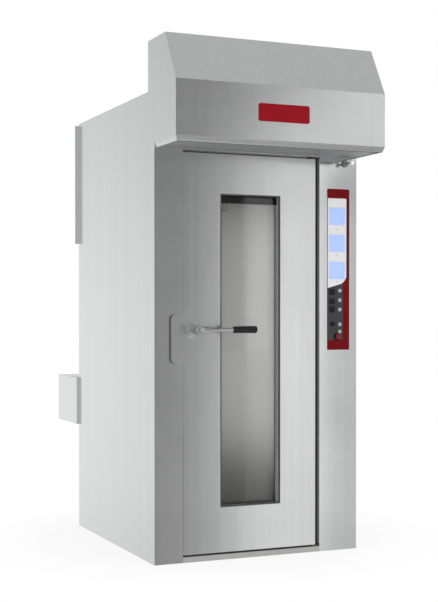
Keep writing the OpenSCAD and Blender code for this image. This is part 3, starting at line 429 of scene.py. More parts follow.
filmLook = {"red": (0.13, 0.001, 0.003), "deepRed": (0.075, 0.005, 0.014), "white": (0.66, 0.655, 0.67),
            "charcoal": (0.045, 0.045, 0.05), "mark": (0.62, 0.62, 0.62),
            "topBand": 48 * mm, "stripWidth": 17 * mm, "bottomBand": 51 * mm, "charcoalWidth": 87 * mm,
            "sweepLeft": 313 * mm, "sweepRise": 22 * mm, "sweepOver": 0.63, "sweepRound": 34 * mm,
            "sweepTurn": 26 * mm, "sweepPower": 2.4, "stripFoot": 40 * mm,
            "markX": 70 * mm, "markSize": 8.5 * mm, "markRing": 0.8, "markLine": 0.22, "markBar": 0.18,
            "barLong": 0.9, "barShort": 0.45, "markShare": 0.85, "markHeights": (300, 252, 204, 129, 92),
            "dotX": 53 * mm, "dotSize": 3.2 * mm, "dotTone": (0.12, 0.12, 0.12), "dotShare": 0.75,
            "dotHeights": (610, 481, 346),
            "wear": (0.3, 0.3, 0.3), "wearShare": 0.03, "wearFine": 30.0, "rough": 0.32,
            "vary": 0.12, "fine": 1500.0, "bump": 0.1, "depth": 0.0001}


def printedFilm():
    # red plate print with a white field for the displays and a charcoal one for the buttons
    look = filmLook
    low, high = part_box("panel_film")
    finish = Finish("printedFilm", Metallic=0.0, Specular_IOR_Level=0.03)
    x, _, z = finish.axes()
    across = x - low.x
    up = z - low.z
    width = high.x - low.x
    height = high.z - low.z
    stripStart = width - look["stripWidth"]
    # the white field's lower edge climbs slowly and turns up into the strip
    turn = ((across - (stripStart - look["sweepRound"])) / look["sweepRound"]).held()
    edge = (look["sweepLeft"] + across * (look["sweepRise"] / (width * look["sweepOver"]))
            + turn.power(look["sweepPower"]) * look["sweepTurn"])
    belowTop = up < height - look["topBand"]
    white = (up > edge) * belowTop * (across < stripStart)
    charcoal = (up > look["bottomBand"]) * (up < edge) * (across < look["charcoalWidth"])
    strip = (across > stripStart) * (up > look["sweepLeft"] + look["stripFoot"]) * belowTop
    colour = finish.mix(strip, look["red"], look["deepRed"])
    colour = finish.mix(charcoal, colour, look["charcoal"])
    colour = finish.mix(white, colour, look["white"])

    def offsets(left, height):
        # the sideways, upward and straight distance from a point of the film
        dx = across - left
        dz = up - height * mm
        return dx, dz, (dx * dx + dz * dz).power(0.5)

    # generic marks beside the buttons: each a ring with a long or a short bar in it
    size = look["markSize"]
    marks = 0.0
    for count, place in enumerate(look["markHeights"]):
        dx, dz, far = offsets(look["markX"], place)
        bar = size * (look["barShort"] if count % 2 else look["barLong"])
        shape = ((far - size * look["markRing"]).size() < size * look["markLine"]).most(
            (dx.size() < size * look["markBar"]) * (dz.size() < bar))
        marks = shape.most(marks)
    colour = finish.mix(marks * look["markShare"], colour, look["mark"])
    # small dots between the displays
    dots = 0.0
    for place in look["dotHeights"]:
        dots = (offsets(look["dotX"], place)[2] < look["dotSize"]).most(dots)
    colour = finish.mix(dots * look["dotShare"], colour, look["dotTone"])
    wear = finish.noise(look["wearFine"], 4.0)
    finish.put("Base Color", finish.mix(wear * look["wearShare"], colour, look["wear"]))
    finish.put("Roughness", look["rough"] + look["vary"] * (wear - 0.5))
    finish.bump(finish.noise(look["fine"], 2.0), look["bump"], look["depth"])
    return finish.material


def litDisplay(look):
    # lilac display with a fine cell pattern that is lit a little unevenly
    finish = Finish("litDisplay", Metallic=0.0, Roughness=0.18, Coat_Weight=0.5, Coat_Roughness=0.05,
                    Emission_Strength=look["strength"])
    x, _, z = finish.axes()
    cells = waves(x, z, look["cells"], look["cells"]) * 0.5 + 0.5
    glow = finish.noise(look["cloud"], 2.0)
    tone = (look["glowShare"] * glow + look["cellShare"] * cells).held()
    colour = finish.mix(tone, look["dark"], look["light"])
    finish.put("Base Color", colour)
    finish.put("Emission Color", colour)
    return finish.material


steelLook = {"grainAcross": 700, "grainAlong": 5, "cloud": 2.4, "streakSize": 0.06, "rough": 0.21,
             "grainShare": 0.28, "cloudShare": 0.30, "streakShare": 0.42, "grainRough": 0.10,
             "cloudRough": 0.07, "bump": 0.06, "depth": 0.0002, "spread": 0.7,
             "dark": (0.56, 0.565, 0.57), "light": (0.70, 0.702, 0.705)}
finishes = {
    "verticalSteel": brushedSteel("brushedSteelVertical", {**steelLook, "grain": "z"}),
    "levelSteel": brushedSteel("brushedSteelLevel", {**steelLook, "grain": "x"}),
    "deepSteel": brushedSteel("brushedSteelDeep", {**steelLook, "grain": "y"}),
    "columnSteel": brushedSteel("brushedSteelColumn", {
        **steelLook, "grain": "z", "rough": 0.10, "spread": 0.0}),
    "shadedSteel": brushedSteel("shadedSteel", {
        **steelLook, "grain": "x", "rough": 0.62, "spread": 0.0, "dark": (0.33, 0.332, 0.335),
        "light": (0.41, 0.412, 0.415)}),
    "chamberSteel": heatedSteel("chamberSteel", {
        "plain": (0.56, 0.56, 0.555), "straw": (0.555, 0.548, 0.53), "brown": (0.30, 0.25, 0.20),
        "rough": 0.42, "metal": 0.7}),
    # painted shade: a darker copy of the chamber sheet for the rack hook under the chamber's top
    "hookSteel": heatedSteel("hookSteel", {
        "plain": (0.25, 0.25, 0.248), "straw": (0.25, 0.247, 0.24), "brown": (0.18, 0.16, 0.14),
        "rough": 0.42, "metal": 0.7}),
    # painted shade: a near-black copy of the chamber sheet for the ceiling, for the darker top of the chamber
    "blackened": heatedSteel("ceilingShadeSteel", {
        "plain": (0.020, 0.019, 0.018), "straw": (0.028, 0.025, 0.021), "brown": (0.014, 0.011, 0.009),
        "rough": 0.6, "metal": 0.4}),
    "basePaint": mattSkin("basePaint", {
        **paintLook, "dark": (0.035, 0.035, 0.037), "light": (0.06, 0.06, 0.062), "rough": 0.5}),
    "motorPaint": mattSkin("motorPaint", {
        **paintLook, "dark": (0.10, 0.13, 0.16), "light": (0.15, 0.18, 0.21), "rough": 0.4}),
    "badgeRed": mattSkin("badgeRed", {
        **paintLook, "dark": (0.20, 0.002, 0.008), "light": (0.26, 0.003, 0.010), "rough": 0.3,
        "shine": 0.1}),
    "plateRed": mattSkin("plateRed", {
        **paintLook, "dark": (0.13, 0.002, 0.004), "light": (0.17, 0.003, 0.005), "rough": 0.35,
        "shine": 0.1}),
    "wool": mineralWool("mineralWool", {
        "dark": (0.33, 0.27, 0.13), "light": (0.62, 0.54, 0.32), "fibres": (260, 40, 260), "clumps": 18.0,
        "fibreShare": 0.6, "clumpShare": 0.4, "bump": 0.9, "depth": 0.003}),
    "heaterSheath": turnedMetal("heaterSheath", {
        "dark": (0.10, 0.095, 0.09), "light": (0.20, 0.18, 0.17), "rough": 0.5}),
    "machined": turnedMetal("machinedSteel", {
        "dark": (0.42, 0.43, 0.44), "light": (0.56, 0.57, 0.58), "rough": 0.34}),
    "castSteel": turnedMetal("castSteel", {
        "dark": (0.46, 0.465, 0.47), "light": (0.56, 0.565, 0.57), "rough": 0.27}),
    "polished": turnedMetal("polishedSteel", {
        "dark": (0.40, 0.40, 0.41), "light": (0.50, 0.50, 0.51), "rough": 0.13}),
    "blackPlastic": mattSkin("blackPlastic", {
        **plasticLook, "dark": (0.010, 0.010, 0.011), "light": (0.022, 0.022, 0.023), "rough": 0.42,
        "shine": 0.12}),
    "whiteBall": mattSkin("whiteBall", {
        **plasticLook, "dark": (0.92, 0.92, 0.91), "light": (0.97, 0.97, 0.96), "rough": 0.18, "bump": 0.04}),
    "stopRed": mattSkin("stopRed", {
        **plasticLook, "dark": (0.13, 0.003, 0.003), "light": (0.18, 0.005, 0.004), "rough": 0.3,
        "bump": 0.08}),
    "bushGrey": mattSkin("bushGrey", {
        **plasticLook, "dark": (0.13, 0.13, 0.132), "light": (0.18, 0.18, 0.183), "rough": 0.5}),
    "bandBlack": mattSkin("bandBlack", {
        **plasticLook, "dark": (0.012, 0.012, 0.012), "light": (0.018, 0.018, 0.018), "rough": 0.5,
        "shine": 0.1}),
    "rubber": mattSkin("siliconeRubber", {
        **rubberLook, "dark": (0.012, 0.012, 0.012), "light": (0.03, 0.03, 0.03)}),
    "sealDark": mattSkin("sealDark", {
        **rubberLook, "dark": (0.04, 0.04, 0.04), "light": (0.065, 0.065, 0.065)}),
    # painted shade: the dark grey of the plinth under the latch keeper
    "keeperShadeGrey": mattSkin("keeperShadeGrey", {**rubberLook, "dark": (0.10, 0.10, 0.10), "light": (0.15, 0.15, 0.15)}),
    # painted shade: the grey of the strip that stands for the column's side wall in the hinge gap
    "gapShadeGrey": mattSkin("gapShadeGrey", {**rubberLook, "dark": (0.34, 0.34, 0.34), "light": (0.42, 0.42, 0.42)}),
    # painted light: the liner's grey is set pale so that the reveal reads lit inside the dim door
    "linerLitGrey": mattSkin("linerLitGrey", {
        **plasticLook, "dark": (0.46, 0.46, 0.455), "light": (0.55, 0.55, 0.545), "rough": 0.6}),
    # painted light: the spacer's grey is set pale so that it reads lit inside the dim door
    "spacerPale": mattSkin("spacerPale", {
        **plasticLook, "dark": (0.72, 0.72, 0.71), "light": (0.80, 0.80, 0.79), "rough": 0.6}),
    "glass": temperedGlass("temperedGlass", {
        "tint": (0.975, 0.977, 0.975), "bend": 1.28, "haze": 3.0, "rough": 0.012, "hazeRough": 0.03}),
    "lampGlass": lampGlass("lampGlass", {
        "tint": (0.85, 0.83, 0.76), "glow": (1.0, 0.92, 0.75), "strength": 0.25, "ripple": 160.0, "bump": 0.4,
        "depth": 0.001}),
    "board": circuitBoard("circuitBoard", {
        "board": (0.012, 0.10, 0.045), "track": (0.05, 0.24, 0.10), "acrossX": 220.0, "acrossZ": 160.0,
        "between": 0.72}),
    "film": printedFilm(),
    "display": litDisplay({
        "dark": (0.32, 0.43, 0.80), "light": (0.44, 0.56, 0.93), "strength": 0.08, "cells": 2600.0,
        "cloud": 14.0, "glowShare": 0.55, "cellShare": 0.2}),
}
print("finishes made:", len(finishes))

# CAD nodes that keep their own mesh
keptNodes = {"insulation_slabs": "wool", "door_insulation": "wool", "heating_elements": "heaterSheath",
             "fan_motor": "motorPaint", "drive_motor": "motorPaint", "fan_impeller": "machined",
             "steam_generator": "machined", "drive_bridge": "machined", "hook_shaft": "machined",
             "driven_pulley": "machined", "drive_pulley": "machined", "drive_belt": "rubber",
             "control_board": "board", "hinge_pins": "machined", "damper_slide": "polished",
             "door_glass": "glass"}
for node, finish in keptNodes.items():
    nodes[node].data.materials.clear()
    nodes[node].data.materials.append(finishes[finish])

# sheet work, as merged copies with rounded folds: name, finish, edge in mm and, for the fascia, the
# smallest angle in degrees that counts as an edge
sheetWork = {
    "base_frame": ("baseFrame", "basePaint", 1.2),
    "left_jamb": ("leftPost", "verticalSteel", 0.9),
    "control_column": ("controlColumn", "columnSteel", 0.9),
    "header_panel": ("headerBox", "levelSteel", 0.9),
    "left_side_panel": ("leftSide", "verticalSteel", 0.7),
    "right_side_panel": ("rightSide", "verticalSteel", 0.7),
    "rear_panel": ("rearPanel", "verticalSteel", 0.7),
    "roof_panel": ("roofPanel", "deepSteel", 0.7),
    "air_outlet_panel": ("airWall", "chamberSteel", 0.5),
    "chamber_right_wall": ("chamberRight", "chamberSteel", 0.5),
    "chamber_back_wall": ("chamberBack", "chamberSteel", 0.5),
    "chamber_ceiling": ("chamberCeiling", "blackened", 0.5),
    "chamber_floor": ("chamberFloor", "chamberSteel", 0.8),
    "exhaust_duct": ("exhaustDuct", "deepSteel", 0.6),
    "rack_hook": ("rackHook", "hookSteel", 0.8),
    "hood_cheeks": ("hoodCheeks", "verticalSteel", 0.8),
    "hood_fascia": ("hoodFascia", "verticalSteel", 0.3, 12),
    "hood_roof": ("hoodRoof", "verticalSteel", 0.8),
    "hood_back": ("hoodBack", "levelSteel", 0.7),
    "hood_underside": ("hoodUnderside", "shadedSteel", 0.7),
    "control_panel": ("panelPlate", "plateRed", 0.5),
    "panel_film": ("panelFilm", "film", 0.25),
    "display_windows": ("displays", "display", 0.4),
    "hinge_blocks": ("hingeBlocks", "heaterSheath", 0.8),
    "door_rails": ("doorRails", "verticalSteel", 1.3),
    "door_stiles": ("doorStiles", "verticalSteel", 1.3),
    "door_inner_frame": ("doorInnerPan", "chamberSteel", 0.8),
    "window_trim": ("paneSpacer", "spacerPale", 0.5),
    "door_gasket": ("doorSeal", "rubber", 2.0),
    "escutcheon": ("escutcheonDisc", "verticalSteel", 1.6),
    "rear_cover_plate": ("rearCover", "verticalSteel", 1.0),
    "rear_box": ("rearBox", "levelSteel", 0.9),
}
for node, (name, finish, edge, *sharpest) in sheetWork.items():
    foldedCopy(node, name, finishes[finish], edge * mm, *sharpest)
print("sheet pieces dressed:", len(sheetWork))


# pieces round the door that the photograph shows as thin lines
edgePart = {"keeperPlate": 4 * mm, "keeperEdge": 1.2 * mm,
            "paneUnder": 8 * mm, "paneThick": 5 * mm, "paneSet": 36 * mm,
            "lip": 7.5 * mm, "lipFront": 2 * mm, "lipBack": 9 * mm, "lipEdge": 0.8 * mm,
            "liner": 2 * mm, "linerGap": 0.2 * mm, "linerBack": 35.6 * mm,
            "shadeBandHeight": 42 * mm, "shadeBandThick": 0.6 * mm, "shadeBandEdge": 0.2 * mm,
            "beadGap": 0.3 * mm, "beadWidth": 1.4 * mm, "beadFront": 1.5 * mm, "beadBack": 17 * mm,
            "beadEdge": 0.4 * mm, "camBelow": 42 * mm, "camAbove": 13 * mm,
            "topLift": 1.5 * mm, "topShadeStrip": 5 * mm, "topProud": 1.5 * mm, "topBack": 2 * mm,
            "topPast": 13 * mm, "sideStart": 9 * mm, "sideShadeStrip": 14 * mm, "sideFront": 25 * mm,
            "sideBack": 27 * mm, "sideLift": 4 * mm, "shadeStripEdge": 0.6 * mm,
            "stripStart": 23 * mm, "stripEnd": 23.8 * mm, "stripFront": 1.5 * mm, "stripBack": 24.8 * mm}


def frameRing(name, low, high, width):
    # a flat frame in the plane of the door, made by an inset whose middle is deleted
    piece = block(name, low, high)
    onlySelect(piece)
    bpy.ops.object.mode_set(mode="EDIT")
    selectFaces(piece, lambda normal: abs(normal.y) > 0.9)
    bpy.ops.mesh.inset(thickness=width, depth=0)
    bpy.ops.mesh.bridge_edge_loops()
    bpy.ops.object.mode_set(mode="OBJECT")
    tidyFaces(piece, 0)
    return piece


def makeKeeper():
    # a steel plate that stands on a dark grey plinth, which is painted shade for the gap under the plate's edge:
    # two copies of the node, one thinned from behind and one from the front
    part = edgePart
    low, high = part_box("latch_keeper")
    for name, finish, slot, start, end in (
            ("latchKeeper", "verticalSteel", slotOf["latch_keeper"], low.y, low.y + part["keeperPlate"]),
            ("keeperShadePlinth", "keeperShadeGrey", slotOf["door_gasket"], low.y + part["keeperPlate"], high.y)):
        piece = nodeCopy("latch_keeper", name)
        middle = (low + high) / 2
        onlySelect(piece)
        bpy.ops.object.mode_set(mode="EDIT")
        bpy.ops.mesh.select_all(action="SELECT")
        bpy.ops.transform.resize(value=(1, (end - start) / (high.y - low.y), 1),
                                 center_override=(middle.x, low.y, middle.z))
        bpy.ops.transform.translate(value=(0, start - low.y, 0))
        bpy.ops.object.mode_set(mode="OBJECT")
        softEdges(piece, part["keeperEdge"], 3, 50, 50)
        dress(piece, finishes[finish], slot, "cabinet")
        if name == "latchKeeper":
            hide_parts("latch_keeper")


def makeDoorEdges():
    part = edgePart
    low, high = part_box("door_glass")
    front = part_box("door_rails")[0].y
    under = part["paneUnder"]
    seal = frameRing("paneSeal", (low.x + under, front + part["lipFront"], low.z + under),
                     (high.x - under, front + part["lipBack"], high.z - under), part["lip"])
    softEdges(seal, part["lipEdge"], 2, 30, 45)
    dress(seal, finishes["sealDark"], slotOf["door_gasket"], "door")
    liner = frameRing("paneLiner", (low.x + under, front + part["lipBack"] + part["linerGap"], low.z + under),
                      (high.x - under, front + part["linerBack"], high.z - under), part["liner"])
    dress(liner, finishes["linerLitGrey"], slotOf["door_gasket"], "door")
    # black band on the back of the front pane, along its top: painted shade under the window's top edge
    back = front + part["paneSet"] + part["paneThick"] + part["beadGap"]
    band = block("paneShadeBand", (low.x + under, back, high.z - under - part["shadeBandHeight"]),
                 (high.x - under, back + part["shadeBandThick"], high.z - under), part["shadeBandEdge"], 1)
    dress(band, finishes["bandBlack"], slotOf["door_glass"], "door")
    low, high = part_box("door_rails")
    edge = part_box("latch_keeper")[1].x
    # bead in the gap at the latch, open where the lever's cam swings through
    pivot = jointAt["lever_turn"]
    left = edge + part["beadGap"]
    beads = [block("gapBead", (left, front + part["beadFront"], start),
                   (left + part["beadWidth"], front + part["beadBack"], end), part["beadEdge"])
             for start, end in ((low.z, pivot.z - part["camBelow"]), (pivot.z + part["camAbove"], high.z))]
    dress(joined("gapBead", beads), finishes["verticalSteel"], slotOf["left_jamb"], "cabinet")
    # black strips deep in the gaps over the door and at its hinges: painted shade of those gaps
    foot = high.z + part["topLift"]
    top = block("topShadeStrip", (edge, front - part["topProud"], foot),
                (high.x + part["topPast"], front + part["topBack"], foot + part["topShadeStrip"]), part["shadeStripEdge"])
    start = high.x + part["sideStart"]
    bottom, head = low.z + part["sideLift"], high.z + part["sideLift"]
    side = block("hingeShadeStrip", (start, front + part["sideFront"], bottom),
                 (start + part["sideShadeStrip"], front + part["sideBack"], head), part["shadeStripEdge"])
    dress(joined("gapShadeStrips", [top, side]), finishes["rubber"], slotOf["door_gasket"], "cabinet")
    # grey strip on the column's side wall, in front of the hinge's black strip: painted shade of that wall in the
    # gap
    strip = block("hingeGapShade", (high.x + part["stripStart"], front + part["stripFront"], bottom),
                  (high.x + part["stripEnd"], front + part["stripBack"], head))
    dress(strip, finishes["gapShadeGrey"], slotOf["door_gasket"], "cabinet")


makeKeeper()
makeDoorEdges()
print("keeper and door edges made")


leverPart = {"hubRadius": 22 * mm, "hubFront": -119 * mm, "hubBack": -12.4 * mm, "rodRadius": 9 * mm,
             "rodY": -100 * mm, "rodEnd": 212 * mm,
             "camHalf": 10 * mm, "camFront": 4 * mm, "camEdge": 1.2 * mm,
             "stemRadius": 8 * mm, "stemFront": -13 * mm, "stemLength": 28 * mm,
             "gripStart": 176 * mm, "gripLength": 123 * mm, "gripRadius": 17.5 * mm,
             "hubProfile": [(0, 0, 1), (0, 3, 1), (0, 5, -1), (0.45, 0, -2), (0.6, 0, -1), (0.66, 0, 0),
                            (1, -4, 0), (1, -1.2, -1.2), (1, 0, -4)],
             "rodProfile": [(0, 10, 9), (0, 22, 8), (0, 56, 1.6), (0, 62, 0), (1, 0, 0)],
             "gripProfile": [(0, 0, -8.2), (0, 0.1, -4), (0, 1, -2.6), (0, 3, -1.8), (0.5, 0, -0.6),
                             (0.85, 0, 0), (1, -7, -0.2), (1, -3, -1.6), (1, -1, -4), (1, 0, -8)]}


def makeLever():
    part = leverPart
    pivot = jointAt["lever_turn"]
    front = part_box("door_rails")[0].y
    axisY = front + part["rodY"]
    hub = turned("leverHub", (pivot.x, front + part["hubBack"], pivot.z), (0, -1, 0),
                 profileOf(part["hubBack"] - part["hubFront"], part["hubRadius"], part["hubProfile"]))
    rod = turned("leverRod", (pivot.x, axisY, pivot.z), (1, 0, 0),
                 profileOf(part["rodEnd"], part["rodRadius"], part["rodProfile"]), 48)
    low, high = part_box("lever_arm")
    half = part["camHalf"]
    cam = block("leverCam", (pivot.x - half, front + part["camFront"], low.z),
                (pivot.x + half, high.y, pivot.z + half), part["camEdge"])
    stem = turned("leverStem", (pivot.x, front + part["stemFront"], pivot.z), (0, 1, 0),
                  [(0, part["stemRadius"]), (part["stemLength"], part["stemRadius"])], 32)
    arm = welded("leverArm", [hub, cam, stem])
    shadeSmooth(arm)
    dress(arm, finishes["castSteel"], "polished_steel", "lever", "lever_arm")
    dress(rod, finishes["polished"], "polished_steel", "lever")
    grip = turned("leverGrip", (pivot.x + part["gripStart"], axisY, pivot.z), (1, 0, 0),
                  profileOf(part["gripLength"], part["gripRadius"], part["gripProfile"]), 48)
    dress(grip, finishes["blackPlastic"], "black_plastic", "lever", "lever_grip")


makeLever()
print("lever made")


damperPart = {"ballRadius": 12 * mm, "ballSteps": 14, "ballFlat": 0.35, "bushOuter": 17.5 * mm,
              "bushDepth": 7.5 * mm, "bushWall": 9.5 * mm, "bushEdge": 1.2 * mm, "bushGap": 0.2 * mm}


def makeDamper():
    part = damperPart
    low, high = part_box("damper_knob")
    centre = (low + high) / 2
    r, steps, flat = part["ballRadius"], part["ballSteps"], part["ballFlat"]
    angles = [math.pi * (step + flat) / (steps + flat) for step in range(steps)]
    ball = turned("damperBall", centre, (0, -1, 0),
                  [(-r * math.cos(angle), r * math.sin(angle)) for angle in angles], 48)
    dress(ball, finishes["whiteBall"], "white_ball", "damper", "damper_knob")
    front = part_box("left_jamb")[0].y
    bush = ring("damperBush", (centre.x, front + part["bushGap"], centre.z), (0, -1, 0), part["bushDepth"],
                part["bushOuter"], part["bushWall"], part["bushEdge"])
    dress(bush, finishes["bushGrey"], "black_plastic", "cabinet")


makeDamper()
print("damper made")


buttonPart = {"edge": 0.7 * mm, "border": 3.2 * mm, "slope": 1.92 * mm, "dish": 0.8 * mm}


def makePushButton(node, count):
    low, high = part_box(node)
    cap = block("buttonCap" + str(count), low, high)
    dishFront(cap, buttonPart, 3)
    dress(cap, finishes["bandBlack"], "black_plastic", bodyOf[node], node)


for count, node in enumerate(("push_button_1", "push_button_2", "push_button_3"), 1):
    makePushButton(node, count)


keyPart = {"bowHalf": 1.6 * mm, "bowDeep": 8 * mm, "bowInside": 1 * mm, "bowEdge": 1.2 * mm,
           "profile": [(0, 0, -2), (0, 8, -2), (0, 8.2, 0), (1, -6, 0), (1, -4.6, -1.4), (1, -4.2, -4),
                       (1, -4.6, -5)]}


def makeKeySwitch():
    part = keyPart
    low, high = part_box("key_switch")
    pivot = jointAt["key_turn"]
    r = (high.x - low.x) / 2
    barrel = turned("keyBarrel", (pivot.x, high.y, pivot.z), (0, -1, 0),
                    profileOf(high.y - low.y, r, part["profile"]), 48)
    half, inside = part["bowHalf"], part["bowInside"]
    bow = block("keyBow", (pivot.x - half, low.y, pivot.z - r + inside),
                (pivot.x + half, low.y + part["bowDeep"], pivot.z + r - inside), part["bowEdge"])
    key = welded("keyTurn", [barrel, bow])
    shadeSmooth(key)
    dress(key, finishes["blackPlastic"], "black_plastic", "key", "key_switch")


stopPart = {"collarDepth": 7.7 * mm, "collarWall": 3.2 * mm, "collarEdge": 1.2 * mm, "collarGap": 0.1 * mm,
            "profile": [(0, 0, -9), (1, -9, -9), (1, -8.6, -4.4), (1, -7.4, -3.6), (1, -4, -3.6),
                        (1, -1.8, -5), (1, -0.6, -8), (1, 0, -13)]}


def makeStopButton():
    part = stopPart
    low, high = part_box("stop_button")
    centre = (low + high) / 2
    r = (high.x - low.x) / 2
    # the collar stays on the panel, and the cap slides inside it
    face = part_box("panel_film")[0].y - part["collarGap"]
    collar = ring("stopCollar", (centre.x, face, centre.z), (0, -1, 0), part["collarDepth"], r,
                  part["collarWall"], part["collarEdge"], 48)
    dress(collar, finishes["bandBlack"], "black_plastic", "cabinet")
    cap = turned("stopCap", (centre.x, high.y, centre.z), (0, -1, 0),
                 profileOf(high.y - low.y, r, part["profile"]), 48)
    dress(cap, finishes["stopRed"], "stop_red", "stop", "stop_button")


makeKeySwitch()
makeStopButton()
print("controls made")


badgePart = {"border": 5 * mm, "slope": 1.2 * mm, "dish": 0.9 * mm, "edge": 0.5 * mm}


def makeBadge():
    plate = nodeCopy("badge_plate", "badgePlate")
    dishFront(plate, badgePart, 2)
    dress(plate, finishes["badgeRed"], "badge_red", "cabinet", "badge_plate")


chamberLampPart = {"rimDeep": 0.7, "rimWall": 4.6 * mm, "rimEdge": 0.8 * mm,
                   "profile": [(0, 0, -5), (0.55, 0, -5), (0.8, 0, -10), (0.93, 0, -17), (0.98, 0, -25)]}


def makeLamps():
    part = chamberLampPart
    low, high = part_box("chamber_lamps")
    r = (high.y - low.y) / 2
    y = (low.y + high.y) / 2
    deep = high.x - low.x
    lenses = []
    for z in (low.z + r, high.z - r):
        lenses.append(turned("lampLens", (high.x, y, z), (-1, 0, 0),
                             profileOf(deep, r, part["profile"]), 48))
        rim = ring("lampRim" + str(len(lenses)), (high.x, y, z), (-1, 0, 0), deep * part["rimDeep"], r,
                   part["rimWall"], part["rimEdge"])
        dress(rim, finishes["polished"], "stainless", "cabinet")
    dress(joined("lampLenses", lenses), finishes["lampGlass"], "lamp_glass", "cabinet", "chamber_lamps")


glandPart = {"bore": 9.1 * mm, "nutDeep": 8 * mm, "nutBack": 30 * mm, "nutEdge": 1.0 * mm,
             "bodyInside": 4 * mm, "bodyShort": 8 * mm, "bodyEdge": 0.5 * mm,
             "capInside": 2 * mm, "capDeep": 14 * mm, "capEdge": 2.4 * mm}


def makeGland():
    part = glandPart
    low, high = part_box("cable_gland")
    centre = (low + high) / 2
    r = (high.x - low.x) / 2

    def tube(name, start, length, inside, edge, sides=64):
        outer = r - inside
        return ring(name, (centre.x, start, centre.z), (0, 1, 0), length, outer, outer - part["bore"],
                    edge, sides)

    nut = tube("glandNut", high.y - part["nutBack"], part["nutDeep"], 0, part["nutEdge"], 6)
    body = tube("glandBody", low.y, high.y - low.y - part["bodyShort"], part["bodyInside"], part["bodyEdge"])
    dome = tube("glandCap", high.y - part["capDeep"], part["capDeep"], part["capInside"], part["capEdge"], 12)
    dress(joined("cableGland", [nut, body, dome]), finishes["blackPlastic"], "black_plastic", "cabinet",
          "cable_gland")


makeBadge()
makeLamps()
makeGland()
print("plate, lamps and gland made")


cameraPart = {"place": (-2.6163, -6.1411, 1.2156), "pitch": 89.449, "turn": -23.47, "lens": 74.08,
              "sensor": 36, "shiftY": 0.0361, "far": 200}


def makeCamera():
    part = cameraPart
    data = bpy.data.cameras.new("photoCamera")
    camera = bpy.data.objects.new("photoCamera", data)
    bpy.context.scene.collection.objects.link(camera)
    camera.location = part["place"]
    camera.rotation_euler = Euler((math.radians(part["pitch"]), 0, math.radians(part["turn"])))
    data.lens = part["lens"]
    data.sensor_width = part["sensor"]
    data.shift_y = part["shiftY"]
    data.clip_end = part["far"]
    bpy.context.scene.camera = camera


# what metal sees: tones of the room by direction. Angles are in degrees, to the right of the oven's
# front or above level; each "Over" says over how many degrees a tone fades in
studioPart = {"fill": 0.72, "ahead": 60, "back": 90, "backFall": 0.02, "lean": 0.8, "leanFrom": 5.6,
              "softbox": 1.95, "softboxLeft": 24.6, "leftOver": 0.06, "softboxRight": 27.8, "rightOver": 0.3,
              "softboxWide": 6, "wideFrom": 7.4, "wideOver": 0.5,
              "topShade": 0.3, "shadeFrom": 3.5, "shadeOver": 2,
              "shine": 0.25, "shineTone": 0.45, "shineFrom": -9, "shineOver": 1.2,
              "above": 0.65, "aboveFrom": 25, "aboveOver": 12,
              "below": 0.54, "belowFrom": -17, "belowOver": 8,
              "belowFall": 0.14, "fallFrom": 22, "fallOver": 8,
              "floor": 1.6, "floorFrom": -40, "floorOver": 10,
              "room": [(-180, 0.78), (-168, 1.10), (-162, 1.10), (-159, 0.98), (-156, 0.88), (-105, 0.95),
                       (-92, 0.75), (-78, 0.90), (-52, 0.90), (-45, 0.40), (-26, 0.40), (-23, 1.05),
                       (-9, 1.05), (-6, 0.40), (4, 0.40), (14, 0.25), (25, 0.25), (27.6, 0.66), (33, 0.74),
                       (45, 0.66), (80, 0.80), (105, 1.00), (165, 1.05), (180, 0.78)]}


